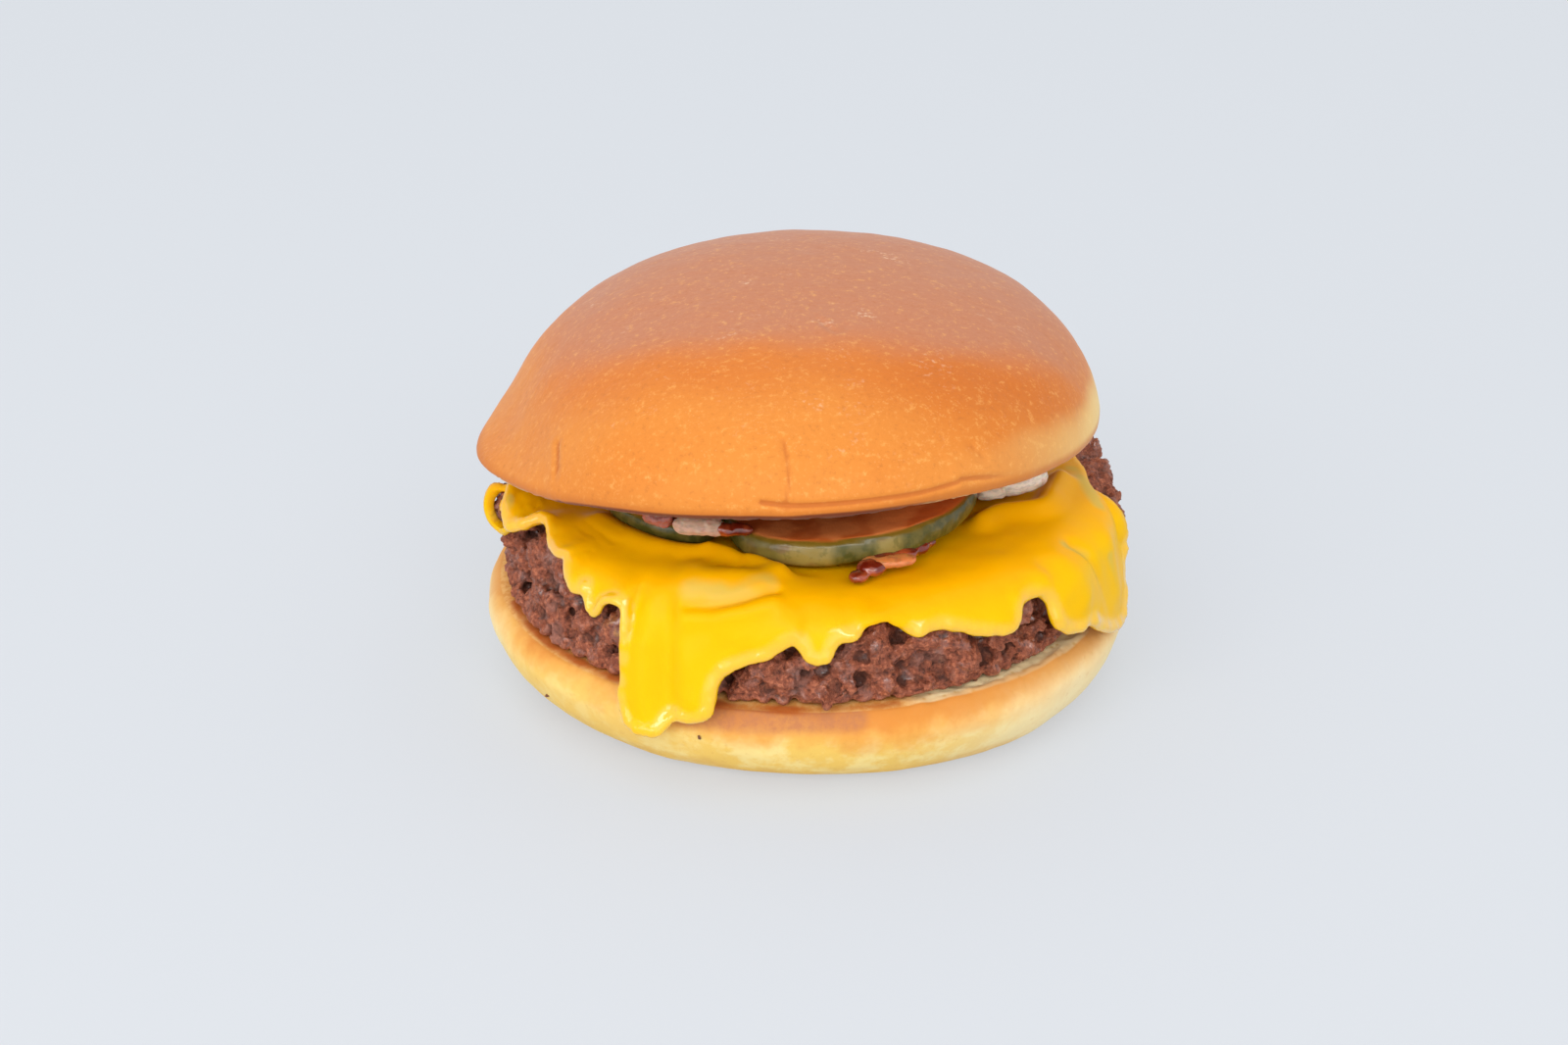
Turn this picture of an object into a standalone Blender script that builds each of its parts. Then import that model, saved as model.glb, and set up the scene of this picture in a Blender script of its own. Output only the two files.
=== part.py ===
"""Cheeseburger: a soft bun, a beef patty, a melted cheese slice, pickles and onion.

Every layer is a closed ring-by-ring body round its own upright axis. A ring's radius
and height come from the sizes below. Azimuths are in degrees, anticlockwise seen from
above: 0 is +X (right), 90 is +Y (back), 180 left and 270 the front.
"""
import math

import bmesh
import bpy
from mathutils import Vector, noise

MM = 0.001
GAP = 0.3 * MM                       # clearance between pieces that touch
FRONT_CROWDING = 20.0                # degrees; finer steps along the detailed front

# ---- bun heel: azimuth, foot radius, widest radius, rim radius ----
HEEL_STATIONS = (
    (0, 44.0, 52.8, 48.6),
    (60, 42.0, 51.4, 48.4),
    (120, 41.5, 51.4, 48.2),
    (180, 42.0, 52.2, 48.0),
    (230, 42.2, 51.6, 47.6),
    (270, 41.6, 51.0, 47.8),
    (315, 45.0, 53.0, 47.0),
)
HEEL_HEIGHT = 15.0 * MM              # flat cut face that carries the patty
HEEL_WIDEST_HEIGHT = 10.2 * MM
HEEL_FOOT_BEND = 1.55                # exponent of the curve under the widest ring
HEEL_SHOULDER_BEND = 2.2
HEEL_SEGMENTS = 56

# ---- beef patty ----
PATTY_CENTRE = Vector((1.5, 0.0, 0.0)) * MM
PATTY_RADIUS = 49.4 * MM
PATTY_BOTTOM = HEEL_HEIGHT + GAP
PATTY_TOP = 30.5 * MM
PATTY_TOP_CORNER = 6.4 * MM
PATTY_BOTTOM_CORNER = 3.4 * MM
PATTY_LUMP_SIZE = 10.0 * MM          # size of the crumbled mince lumps
PATTY_LUMP_HEIGHT = 3.4 * MM
PATTY_MEAN_RELIEF = 0.35             # share of the lump height that lies inside the radius
PATTY_PRESSED = 0.3                  # depth of the furrows left under the cheese
PATTY_FLATTENED = 0.12               # how far the weight of the cheese holds the meat in
PATTY_HEM_CLEARANCE = 1.8 * MM       # lumps start this far below the cheese's hem
PATTY_SWELL = (9, 12, 1.7 * MM)      # azimuth, half width, how far the right side bulges
PATTY_SEGMENTS = 72

# ---- cheese slice ----
CHEESE_THICKNESS = 2.3 * MM
CHEESE_INNER_TOP = PATTY_TOP + GAP
CHEESE_INNER_RADIUS = PATTY_RADIUS + 0.6 * MM
CHEESE_CORNER = PATTY_TOP_CORNER + 0.3 * MM
CHEESE_TOP = CHEESE_INNER_TOP + CHEESE_THICKNESS
CHEESE_SIDE_SLOPE = 0.26             # how far the hanging sides lean outwards
CHEESE_SIDE_HANG = 7.0 * MM          # length past the shoulder along the straight sides
CHEESE_LOOSE = (185, 13, 1.1 * MM)   # azimuth, half width, gap where strands hang free
CHEESE_SWELL = (252, 16, 44.0, 6.0)  # azimuth, half width, distance from the middle, half depth
CHEESE_SWELL_HEIGHT = 1.3 * MM       # soft rise of the slice over the meat below
CHEESE_RIPPLE_HEIGHT = 0.5 * MM
CHEESE_RIPPLE_LENGTH = 17.0 * MM
CHEESE_SEGMENTS = 96
# long and short parts of the hem: azimuth, half width in degrees, hanging length in mm
CHEESE_HEM = (
    (12, 24, 0.3),
    (57, 15, 21.0),
    (104, 5, 10.5),
    (150, 14, 20.5),
    (176, 5, 14.0),
    (187, 3.6, 1.4),
    (193.5, 3.2, 12.0),
    (206, 8.0, 1.4),
    (219, 4.0, 4.2),
    (227, 4.5, 8.0),
    (264, 4, 11.8),
    (267.5, 1.8, 9.0),
    (271.8, 2.2, 11.5),
    (256, 2.5, 15.5),
    (250, 5, 20.5),
    (242.8, 5.7, 25.8),
    (279, 2.4, 8.6),
    (289, 3, 8.0),
    (299, 5, 9.0),
    (304.5, 3.6, 10.6),
    (312, 3.6, 7.6),
    (325, 8.5, 17.0),
    (338, 11, 21.0),
    (356, 8, 1.4),
)

# ---- crown ----
CROWN_CENTRE = Vector((-2.6, 0.0, 0.0)) * MM
CROWN_APEX = Vector((-5.2, 3.0, 65.9)) * MM
# azimuth, widest radius, its height, fullness, side hollow, rim radius, rim height
CROWN_STATIONS = (
    (0, 50.2, 44.2, 2.4, 0.0, 49.0, 42.4),
    (45, 49.6, 45.6, 2.25, 0.0, 47.4, 40.2),
    (90, 48.2, 45.0, 2.0, 0.0, 46.8, 38.0),
    (135, 46.4, 43.2, 1.85, 0.0, 46.0, 37.6),
    (165, 47.2, 41.0, 1.8, 0.03, 46.4, 37.6),
    (187, 50.6, 39.2, 1.8, 0.12, 49.8, 37.9),
    (210, 49.0, 42.2, 1.8, 0.07, 48.0, 40.6),
    (235, 49.2, 46.2, 1.95, 0.0, 47.6, 43.6),
    (270, 49.6, 48.2, 2.2, 0.0, 47.4, 46.1),
    (315, 50.4, 47.6, 2.3, 0.0, 47.8, 45.2),
)
CROWN_CUT_SLOPE = Vector((0.048, -0.085))    # rise of the cut face along X and Y
CROWN_CUT_HEIGHT = 41.3 * MM         # cut face over the origin
CROWN_SEGMENTS = 52

# ---- toppings ----
SLICE_BASE = CHEESE_TOP + GAP
PICKLE_FRONT_THICKNESS = 4.4 * MM
PICKLE_FRONT_CENTRE = Vector((7.1, -23.6)) * MM
PICKLE_FRONT_HALF_LENGTH = 20.4 * MM
PICKLE_FRONT_HALF_WIDTH = 16.0 * MM
PICKLE_FRONT_TURN = 20.0             # degrees
PICKLE_FRONT_TILT = 0.07             # rise of the slice along its length
PICKLE_LEFT_CENTRE = Vector((-13.5, -12.5)) * MM
PICKLE_LEFT_RADIUS = 18.6 * MM
PICKLE_LEFT_THICKNESS = 3.0 * MM
PICKLE_SEGMENTS = 28
RELISH_RADIUS = 36.0 * MM            # onion and ketchup between cheese and crown
RELISH_FRONT_RADIUS = 25.0 * MM
RELISH_FRONT = (262, 62)             # azimuth and half width of the drawn-back front
RELISH_LUMPS = 2.4 * MM
RELISH_SEGMENTS = 36
ON_PICKLE = PICKLE_LEFT_THICKNESS + GAP
# onion pieces: name, centre x, y, base, half length, width, height in mm, turn in degrees
ONION_PIECES = (
    ("onion_left", -16.0, -33.2, ON_PICKLE / MM, 4.4, 1.6, 1.5, -12),
    ("onion_left_pink", -22.4, -29.8, ON_PICKLE / MM, 2.9, 1.6, 1.4, -35),
    ("onion_right", 35.0, -14.3, 0.0, 5.4, 2.8, 2.2, 35),
    ("onion_right_small", 30.0, -21.2, 0.0, 2.6, 1.6, 1.3, 10),
    ("onion_front", 12.6, -42.0, 0.0, 4.6, 1.8, 0.8, 8),
)


# ------------------------------------------------------------------ helpers
def smooth(t):
    """Ease from 0 to 1 between t = 0 and t = 1."""
    t = min(max(t, 0.0), 1.0)
    return t * t * (3.0 - 2.0 * t)


def turn_between(a, b):
    """Signed angle in degrees from azimuth b to azimuth a."""
    return (a - b + 180.0) % 360.0 - 180.0


def plateau(offset, half_width):
    """1 in the middle of a feature, falling smoothly to 0 past its half width."""
    return math.exp(-abs(offset / half_width) ** 3.6)


def crowd_front(azimuth):
    """Shift evenly spaced azimuths so that more of them fall on the front."""
    return azimuth - FRONT_CROWDING * math.cos(math.radians(azimuth))


def direction(azimuth):
    """Unit vector in plan."""
    return Vector((math.cos(math.radians(azimuth)), math.sin(math.radians(azimuth)), 0.0))


def read_stations(stations, azimuth):
    """Values of a closed table of stations at an azimuth, on a smooth curve."""
    count = len(stations)
    for i in range(count):
        a1 = stations[i][0]
        span = (stations[(i + 1) % count][0] - a1) % 360.0
        offset = (azimuth - a1) % 360.0
        if offset <= span:
            break
    t = offset / span
    rows = [stations[(i + k) % count][1:] for k in (-1, 0, 1, 2)]
    values = []
    for p0, p1, p2, p3 in zip(*rows):
        values.append(0.5 * (2 * p1 + (p2 - p0) * t + (2 * p0 - 5 * p1 + 4 * p2 - p3) * t * t
                             + (3 * p1 - p0 - 3 * p2 + p3) * t ** 3))
    return values


def lump_relief(point, size):
    """0 in the furrows between crumbled lumps, 1 on top of a lump."""
    distances = noise.voronoi(point / size)[0]
    return smooth((distances[1] - distances[0]) * 1.9)


def ring_body(name, segments, rings, place, material):
    """A closed body: place(azimuth, ring) is a point, ring 0 the top, rings the foot."""
    bm = bmesh.new()
    bmesh.ops.create_uvsphere(bm, u_segments=segments, v_segments=rings, radius=1.0)
    for vert in bm.verts:
        polar = math.acos(max(-1.0, min(1.0, vert.co.z)))
        azimuth = math.degrees(math.atan2(vert.co.y, vert.co.x)) % 360.0
        vert.co = place(azimuth, round(polar / math.pi * rings))
    bmesh.ops.triangulate(bm, faces=bm.faces)
    mesh = bpy.data.meshes.new(name)
    bm.to_mesh(mesh)
    bm.free()
    mesh.shade_smooth()
    mesh.materials.append(material)
    obj = bpy.data.objects.new(name, mesh)
    bpy.context.scene.collection.objects.link(obj)
    return obj


def food_material(name, colour, roughness):
    """A plain food surface."""
    material = bpy.data.materials.new(name)
    material.use_nodes = True
    shader = material.node_tree.nodes["Principled BSDF"]
    shader.inputs["Base Color"].default_value = (*colour, 1.0)
    shader.inputs["Roughness"].default_value = roughness
    shader.inputs["Metallic"].default_value = 0.0
    return material


# ------------------------------------------------------------------ heel
def heel_radius(azimuth, height):
    """Outer radius of the heel's side at a height."""
    foot, widest, rim = (value * MM for value in read_stations(HEEL_STATIONS, azimuth))
    if height < HEEL_WIDEST_HEIGHT:
        down = 1.0 - height / HEEL_WIDEST_HEIGHT
        return foot + (widest - foot) * (1.0 - down ** HEEL_FOOT_BEND) ** (1.0 / HEEL_FOOT_BEND)
    up = min(1.0, (height - HEEL_WIDEST_HEIGHT) / (HEEL_HEIGHT - HEEL_WIDEST_HEIGHT))
    bend = (1.0 - up ** HEEL_SHOULDER_BEND) ** (1.0 / HEEL_SHOULDER_BEND)
    return rim + (widest - rim) * bend


def heel_point(azimuth, ring):
    """Heel: cut face, browned shoulder, side, rounded foot and flat bottom."""
    side = (1.0, 0.93, 0.78, 0.55, 0.27, 0.0)
    foot = (0.72, 0.46, 0.24, 0.09, 0.0)
    if ring <= 1:
        radius = 0.55 * heel_radius(azimuth, HEEL_HEIGHT) * ring
        return direction(azimuth) * radius + Vector((0, 0, HEEL_HEIGHT))
    if ring <= 7:
        height = HEEL_WIDEST_HEIGHT + (HEEL_HEIGHT - HEEL_WIDEST_HEIGHT) * side[ring - 2]
    elif ring <= 12:
        height = HEEL_WIDEST_HEIGHT * foot[ring - 8]
    else:
        return Vector((0, 0, 0))
    return direction(azimuth) * heel_radius(azimuth, height) + Vector((0, 0, height))


def make_heel():
    """Bottom half of the bun."""
    bread = food_material("heel_bread", (0.80, 0.52, 0.20), 0.55)
    return ring_body("bun_heel", HEEL_SEGMENTS, 13, heel_point, bread)


# ------------------------------------------------------------------ cheese hem
def drape(distance):
    """Point on the slice's underside, as radius, height and outward normal (r, z)."""
    flat = CHEESE_INNER_RADIUS - CHEESE_CORNER
    if distance <= flat:
        return distance, CHEESE_INNER_TOP, 0.0, 1.0
    angle = (distance - flat) / CHEESE_CORNER
    if angle <= math.pi / 2:
        radius = flat + CHEESE_CORNER * math.sin(angle)
        height = CHEESE_INNER_TOP - CHEESE_CORNER * (1.0 - math.cos(angle))
        return radius, height, math.sin(angle), math.cos(angle)
    drop = distance - flat - CHEESE_CORNER * math.pi / 2
    radius = CHEESE_INNER_RADIUS + CHEESE_SIDE_SLOPE * drop
    return radius, CHEESE_INNER_TOP - CHEESE_CORNER - drop, 1.0, 0.0


def hem_hang(azimuth):
    """Length of cheese that hangs past the start of the patty's shoulder."""
    hang = CHEESE_SIDE_HANG
    for middle, half_width, length in CHEESE_HEM:
        hang += (length * MM - hang) * plateau(turn_between(azimuth, middle), half_width)
    return hang


def hem_height(azimuth):
    """Height of the cheese slice's hem at an azimuth."""
    return drape(CHEESE_INNER_RADIUS - CHEESE_CORNER + hem_hang(azimuth))[1]


def lowest_hem_nearby(azimuth):
    """Lowest hem within a few degrees, which the meat below must stay clear of."""
    return min(hem_height(azimuth + step) for step in range(-10, 11, 2))


# ------------------------------------------------------------------ patty
def patty_outline(ring):
    """Radius and height of the patty's round outline, without its lumps."""
    if ring <= 2:
        return (PATTY_RADIUS - PATTY_TOP_CORNER) * ring / 2.0, PATTY_TOP
    if ring <= 5:
        angle = math.radians(30.0 * (ring - 2))
        radius = PATTY_RADIUS - PATTY_TOP_CORNER * (1.0 - math.sin(angle))
        return radius, PATTY_TOP - PATTY_TOP_CORNER * (1.0 - math.cos(angle))
    low = PATTY_BOTTOM + PATTY_BOTTOM_CORNER
    high = PATTY_TOP - PATTY_TOP_CORNER
    if ring <= 7:
        return PATTY_RADIUS, high + (low - high) * (ring - 5) / 2.0
    if ring <= 10:
        angle = math.radians(30.0 * (ring - 7))
        radius = PATTY_RADIUS - PATTY_BOTTOM_CORNER * (1.0 - math.cos(angle))
        return radius, low - PATTY_BOTTOM_CORNER * math.sin(angle)
    return (PATTY_RADIUS - PATTY_BOTTOM_CORNER) * 0.5 * (12 - ring), PATTY_BOTTOM


def patty_point(azimuth, ring):
    """Patty: crumbled lumps on the free side, pressed smooth under the cheese."""
    azimuth = crowd_front(azimuth)
    radius, height = patty_outline(ring)
    point = direction(azimuth) * radius + Vector((0, 0, height))
    if 3 <= ring <= 9:
        swell = plateau(turn_between(azimuth, PATTY_SWELL[0]), PATTY_SWELL[1])
        below_hem = lowest_hem_nearby(azimuth) - height - PATTY_HEM_CLEARANCE
        free = smooth(below_hem / PATTY_HEM_CLEARANCE)
        relief = lump_relief(point, PATTY_LUMP_SIZE)
        pressed = PATTY_FLATTENED + PATTY_PRESSED * (1.0 - relief)
        lump = (relief - PATTY_MEAN_RELIEF) * free - pressed * (1.0 - free)
        rolled = 0.5 if ring <= 4 else 0.0
        point.z += PATTY_SWELL[2] * swell * rolled
        push = PATTY_SWELL[2] * swell * (1.0 + rolled) + PATTY_LUMP_HEIGHT * lump
        point += direction(azimuth) * push
    return point + PATTY_CENTRE


def make_patty():
    """Beef patty."""
    beef = food_material("beef", (0.16, 0.065, 0.045), 0.5)
    return ring_body("beef_patty", PATTY_SEGMENTS, 12, patty_point, beef)


# ------------------------------------------------------------------ cheese
def clear_of_heel(azimuth, point):
    """Push a point of the slice's underside out over the heel's side."""
    if point.z > HEEL_HEIGHT + 3.0 * MM:
        return point
    height = min(point.z, HEEL_HEIGHT)
    needed = heel_radius(azimuth, height) + 2.0 * GAP
    short = needed - math.hypot(point.x, point.y)
    if short > 0.0:
        point += direction(azimuth) * short
    return point


def cheese_relief(azimuth, distance):
    """Soft swell of the slice over what lies under it."""
    middle, half_width, out, half_depth = CHEESE_SWELL
    swell = plateau(turn_between(azimuth, middle), half_width)
    swell *= plateau(distance / MM - out, half_depth)
    ripple = noise.noise(direction(azimuth) * distance / CHEESE_RIPPLE_LENGTH)
    return CHEESE_SWELL_HEIGHT * swell + CHEESE_RIPPLE_HEIGHT * ripple


def cheese_point(azimuth, ring):
    """Cheese: twelve rings over the top to the hem, then eight back underneath."""
    azimuth = crowd_front(azimuth)
    flat = CHEESE_INNER_RADIUS - CHEESE_CORNER
    reach = flat + hem_hang(azimuth)
    bend_start = 0.92 * flat
    outer = ring <= 12
    if ring < 2:
        distance = bend_start * 0.5 * ring
    elif ring == 20:
        distance = 0.0
    else:
        step = (ring - 2) / 10.0 if outer else (19 - ring) / 7.0
        distance = bend_start + (reach - bend_start) * step
    radius, height, normal_r, normal_z = drape(distance)
    point = direction(azimuth) * radius + Vector((0, 0, height)) + PATTY_CENTRE
    loose = plateau(turn_between(azimuth, CHEESE_LOOSE[0]), CHEESE_LOOSE[1])
    point += direction(azimuth) * CHEESE_LOOSE[2] * loose * normal_r
    point = clear_of_heel(azimuth, point)
    if not outer:
        return point
    bead = min(1.0, (reach - distance) / (0.6 * CHEESE_THICKNESS))
    thickness = CHEESE_THICKNESS * math.sqrt(max(0.0, 1.0 - (1.0 - bead) ** 2))
    if ring == 12:
        thickness = 0.45 * CHEESE_THICKNESS
    elif ring > 2:
        thickness += cheese_relief(azimuth, distance) * bead
    normal = direction(azimuth) * normal_r + Vector((0, 0, normal_z))
    return point + normal * thickness


def make_cheese():
    """Melted cheese slice, draped over the patty."""
    cheese = food_material("cheese", (0.95, 0.62, 0.02), 0.3)
    return ring_body("cheese_slice", CHEESE_SEGMENTS, 20, cheese_point, cheese)


# ------------------------------------------------------------------ crown
def cut_height(x, y):
    """Height of the crown's cut face, a tilted plane."""
    return CROWN_CUT_HEIGHT + CROWN_CUT_SLOPE.x * x + CROWN_CUT_SLOPE.y * y


def crown_point(azimuth, ring):
    """Crown: dome, rolled rim and cut face."""
    widest, height, fullness, hollow, rim, rim_height = read_stations(CROWN_STATIONS, azimuth)
    widest *= MM
    rim *= MM
    height *= MM
    rim_height *= MM
    if ring <= 11:
        latitude = math.radians(90.0 * (1.0 - ring / 11.0))
        out = math.cos(latitude) ** (2.0 / fullness)
        up = math.sin(latitude) ** (2.0 / fullness)
        out *= 1.0 - hollow * math.sin(math.pi * up ** 0.6)
        drift = (CROWN_APEX - CROWN_CENTRE) * up
        drift.z = (CROWN_APEX.z - height) * up + height
        return CROWN_CENTRE + direction(azimuth) * widest * out + drift
    if ring <= 13:
        angle = math.radians(45.0 * (ring - 11))
        radius = rim + (widest - rim) * math.cos(angle)
        level = height + (rim_height - height) * math.sin(angle)
        return CROWN_CENTRE + direction(azimuth) * radius + Vector((0, 0, level))
    radius = 0.84 * rim if ring == 14 else 0.0
    point = CROWN_CENTRE + direction(azimuth) * radius
    point.z = cut_height(point.x, point.y)
    return point


def make_crown():
    """Top half of the bun."""
    crust = food_material("crown_crust", (0.78, 0.34, 0.11), 0.45)
    return ring_body("bun_crown", CROWN_SEGMENTS, 15, crown_point, crust)


# ------------------------------------------------------------------ pickles
def slice_rows(radius, thickness, extra):
    """Radius and height of each ring of a round-edged slice, grown by extra."""
    edge = 0.22 * thickness
    top = thickness + extra
    radius += extra
    return (
        (0.0, top),
        (radius * 0.55, top),
        (radius - edge, top),
        (radius, top - edge),
        (radius, edge - extra),
        (radius - edge, -extra),
        (radius * 0.5, -extra),
        (0.0, -extra),
    )


def front_pickle_reach(azimuth):
    """Radius of the oval front slice, with a slightly wavy edge."""
    out = direction(azimuth - PICKLE_FRONT_TURN)
    oval = math.hypot(out.x / PICKLE_FRONT_HALF_LENGTH, out.y / PICKLE_FRONT_HALF_WIDTH)
    return (1.0 + 0.012 * math.sin(math.radians(5 * azimuth))) / oval


def left_pickle_reach(azimuth):
    """Radius of the left slice, whose hidden side stops at the front slice."""
    reach = PICKLE_LEFT_RADIUS
    while reach > 4.0 * MM:
        across = direction(azimuth) * reach + (PICKLE_LEFT_CENTRE - PICKLE_FRONT_CENTRE).to_3d()
        bearing = math.degrees(math.atan2(across.y, across.x))
        if across.length > front_pickle_reach(bearing) + 3.0 * GAP:
            break
        reach -= 0.3 * MM
    return reach


def front_pickle_body(name, extra, material):
    """The front slice, lying a little tilted on the cheese."""
    def place(azimuth, ring):
        radius, height = slice_rows(
            front_pickle_reach(azimuth), PICKLE_FRONT_THICKNESS, extra)[ring]
        out = direction(azimuth) * radius
        along = out.dot(direction(PICKLE_FRONT_TURN))
        rise = PICKLE_FRONT_TILT * (along + PICKLE_FRONT_HALF_LENGTH)
        return out + PICKLE_FRONT_CENTRE.to_3d() + Vector((0, 0, SLICE_BASE + height + rise))
    return ring_body(name, PICKLE_SEGMENTS, 7, place, material)


def left_pickle_body(name, extra, material):
    """The left slice, flat on the cheese."""
    def place(azimuth, ring):
        radius, height = slice_rows(
            left_pickle_reach(azimuth), PICKLE_LEFT_THICKNESS, extra)[ring]
        centre = PICKLE_LEFT_CENTRE.to_3d()
        return direction(azimuth) * radius + centre + Vector((0, 0, SLICE_BASE + height))
    return ring_body(name, PICKLE_SEGMENTS, 7, place, material)


def make_pickles():
    """The two pickle slices that show at the front."""
    pickle = food_material("pickle", (0.17, 0.18, 0.03), 0.3)
    front_pickle_body("pickle_front", 0.0, pickle)
    left_pickle_body("pickle_left", 0.0, pickle)


# ------------------------------------------------------------------ onion and ketchup
def relish_reach(azimuth):
    """Radius of the onion and ketchup layer, drawn back behind the pickles."""
    front = plateau(turn_between(azimuth, RELISH_FRONT[0]), RELISH_FRONT[1])
    lumps = noise.noise(direction(azimuth) * 4.0) * RELISH_LUMPS
    return RELISH_RADIUS + (RELISH_FRONT_RADIUS - RELISH_RADIUS) * front + lumps


def relish_point(azimuth, ring):
    """Relish: from the cheese up to the crown's cut face, with an uneven edge."""
    reach = relish_reach(azimuth)
    share = (0.0, 0.6, 0.93, 1.0, 0.95, 0.6, 0.0)[ring]
    rise = (1.0, 1.0, 1.0, 0.55, 0.0, 0.0, 0.0)[ring]
    point = direction(azimuth) * reach * share
    top = cut_height(point.x, point.y) - 2.0 * GAP
    point.z = SLICE_BASE + (top - SLICE_BASE) * rise
    return point


def make_relish():
    """Chopped onion in ketchup, moulded round the pickles."""
    relish = food_material("relish", (0.30, 0.05, 0.02), 0.25)
    body = ring_body("onion_relish", RELISH_SEGMENTS, 6, relish_point, relish)
    for name, cutter_body in (("front_cut", front_pickle_body), ("left_cut", left_pickle_body)):
        cutter = cutter_body(name, GAP, relish)
        cutter.hide_render = True
        cutter.display_type = "WIRE"
        cut = body.modifiers.new(name, "BOOLEAN")
        cut.operation = "DIFFERENCE"
        cut.object = cutter


def make_onions():
    """Loose onion pieces."""
    onion = food_material("onion", (0.78, 0.62, 0.55), 0.3)
    for name, x, y, rise, length, width, height, turn in ONION_PIECES:
        def onion_point(azimuth, ring):
            share = (0.0, 0.72, 1.0, 0.9, 0.0)[ring]
            level = (1.0, 0.86, 0.1, -0.8, -1.0)[ring]
            out = direction(azimuth)
            square = max(abs(out.x), abs(out.y)) ** 0.6
            point = Vector((out.x * length, out.y * width, 0.0)) * MM * share / square
            point.z = level * height * MM
            point *= 1.0 + 0.12 * noise.noise(point / (2.2 * MM) + Vector((x, y, 0.0)))
            return point
        obj = ring_body(name, 12, 4, onion_point, onion)
        base = min(vert.co.z for vert in obj.data.vertices)
        obj.rotation_euler.z = math.radians(turn)
        obj.location = Vector((x * MM, y * MM, SLICE_BASE + rise * MM - base))


def centre_on_floor():
    """Move everything so that the origin is the bottom centre of the bounding box."""
    bpy.context.view_layer.update()
    solids = [obj for obj in bpy.data.objects if not obj.hide_render]
    corners = [obj.matrix_world @ vert.co for obj in solids for vert in obj.data.vertices]
    middle = Vector((0.0, 0.0, 0.0))
    for axis in (0, 1):
        values = [corner[axis] for corner in corners]
        middle[axis] = (min(values) + max(values)) / 2.0
    middle.z = min(corner.z for corner in corners)
    for obj in bpy.data.objects:
        obj.location -= middle


def main():
    """Build the burger in an empty scene."""
    for obj in list(bpy.data.objects):
        bpy.data.objects.remove(obj)
    make_heel()
    make_patty()
    make_cheese()
    make_pickles()
    make_relish()
    make_onions()
    make_crown()
    centre_on_floor()


main()
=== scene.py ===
"""Cheeseburger, dressed: baked crust, mince, melted cheese, pickles, onion and ketchup.

The file is laid out as an add-on and runs as a script. Lengths are in metres, and MM
turns millimetres into them. Azimuths are in degrees, anticlockwise seen from above:
0 is +X (right), 90 the back, 180 left and 270 the front.
"""
import math
import random

import bpy
import numpy as np
from bpy.props import FloatProperty, FloatVectorProperty, IntProperty, PointerProperty
from mathutils import Euler, Matrix, Vector, noise
from mathutils.bvhtree import BVHTree
from mathutils.kdtree import KDTree


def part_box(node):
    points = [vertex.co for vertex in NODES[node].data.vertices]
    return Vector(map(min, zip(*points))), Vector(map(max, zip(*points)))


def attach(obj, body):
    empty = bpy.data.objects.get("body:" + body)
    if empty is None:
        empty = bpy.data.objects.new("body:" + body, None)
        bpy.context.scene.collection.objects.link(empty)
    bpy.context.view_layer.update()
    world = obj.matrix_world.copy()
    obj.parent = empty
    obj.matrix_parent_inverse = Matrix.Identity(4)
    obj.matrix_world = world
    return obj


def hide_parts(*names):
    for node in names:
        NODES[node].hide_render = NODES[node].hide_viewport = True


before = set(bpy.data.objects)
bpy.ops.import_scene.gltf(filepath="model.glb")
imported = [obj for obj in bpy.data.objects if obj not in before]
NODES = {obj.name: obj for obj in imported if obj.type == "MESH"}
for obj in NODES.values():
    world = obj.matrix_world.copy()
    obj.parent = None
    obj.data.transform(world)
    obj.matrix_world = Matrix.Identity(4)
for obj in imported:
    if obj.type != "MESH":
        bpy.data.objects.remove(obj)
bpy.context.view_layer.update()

bl_info = {
    "name": "Cheeseburger",
    "version": (1, 0, 0),
    "blender": (4, 5, 0),
    "location": "3D View > Sidebar > Burger",
    "description": "Builds a dressed cheeseburger on its packed solids",
    "category": "Object",
}

MM = 0.001
UP = Vector((0, 0, 1))
HEEL_LOW, HEEL_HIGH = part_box("bun_heel")
PATTY_LOW, PATTY_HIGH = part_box("beef_patty")
CHEESE_LOW, CHEESE_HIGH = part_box("cheese_slice")
CROWN_LOW, CROWN_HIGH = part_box("bun_crown")
PICKLE_LOW, PICKLE_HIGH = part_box("pickle_front")
AXIS = (HEEL_LOW + HEEL_HIGH) / 2.0          # the upright axis through the heel
AXIS.z = 0.0


# ------------------------------------------------------------------ sizes and colours
def colour_property(name, description, default):
    """A colour that the user can change, as linear red, green and blue."""
    return FloatVectorProperty(
        name=name, description=description, default=default,
        subtype="COLOR", size=3, min=0.0, max=1.0)


def length_property(name, description, default):
    """A length that the user can change, in metres."""
    return FloatProperty(
        name=name, description=description, default=default,
        min=0.0, subtype="DISTANCE", unit="LENGTH", precision=5)


class BurgerBun(bpy.types.PropertyGroup):
    """Crust and crumb of the bun."""
    crust: colour_property("Crust", "Golden brown of the baked side", (0.68, 0.228, 0.034))
    deep_crust: colour_property("Deep crust", "Darker patches of the crust", (0.60, 0.155, 0.018))
    # browner crust on top, greyed as a painted grazing sheen
    top_crust: colour_property("Top crust", "Browner crust on top", (0.50, 0.19, 0.095))
    pale: colour_property("Pale side", "Side of the bun that browned least", (0.88, 0.66, 0.24))
    crumb: colour_property("Crumb", "Inside of the bun", (0.90, 0.74, 0.42))
    dent: length_property("Dents", "Height of the crust's soft dents", 0.30 * MM)
    crease: length_property("Creases", "Depth of the wrinkles at the rim", 0.42 * MM)


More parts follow.
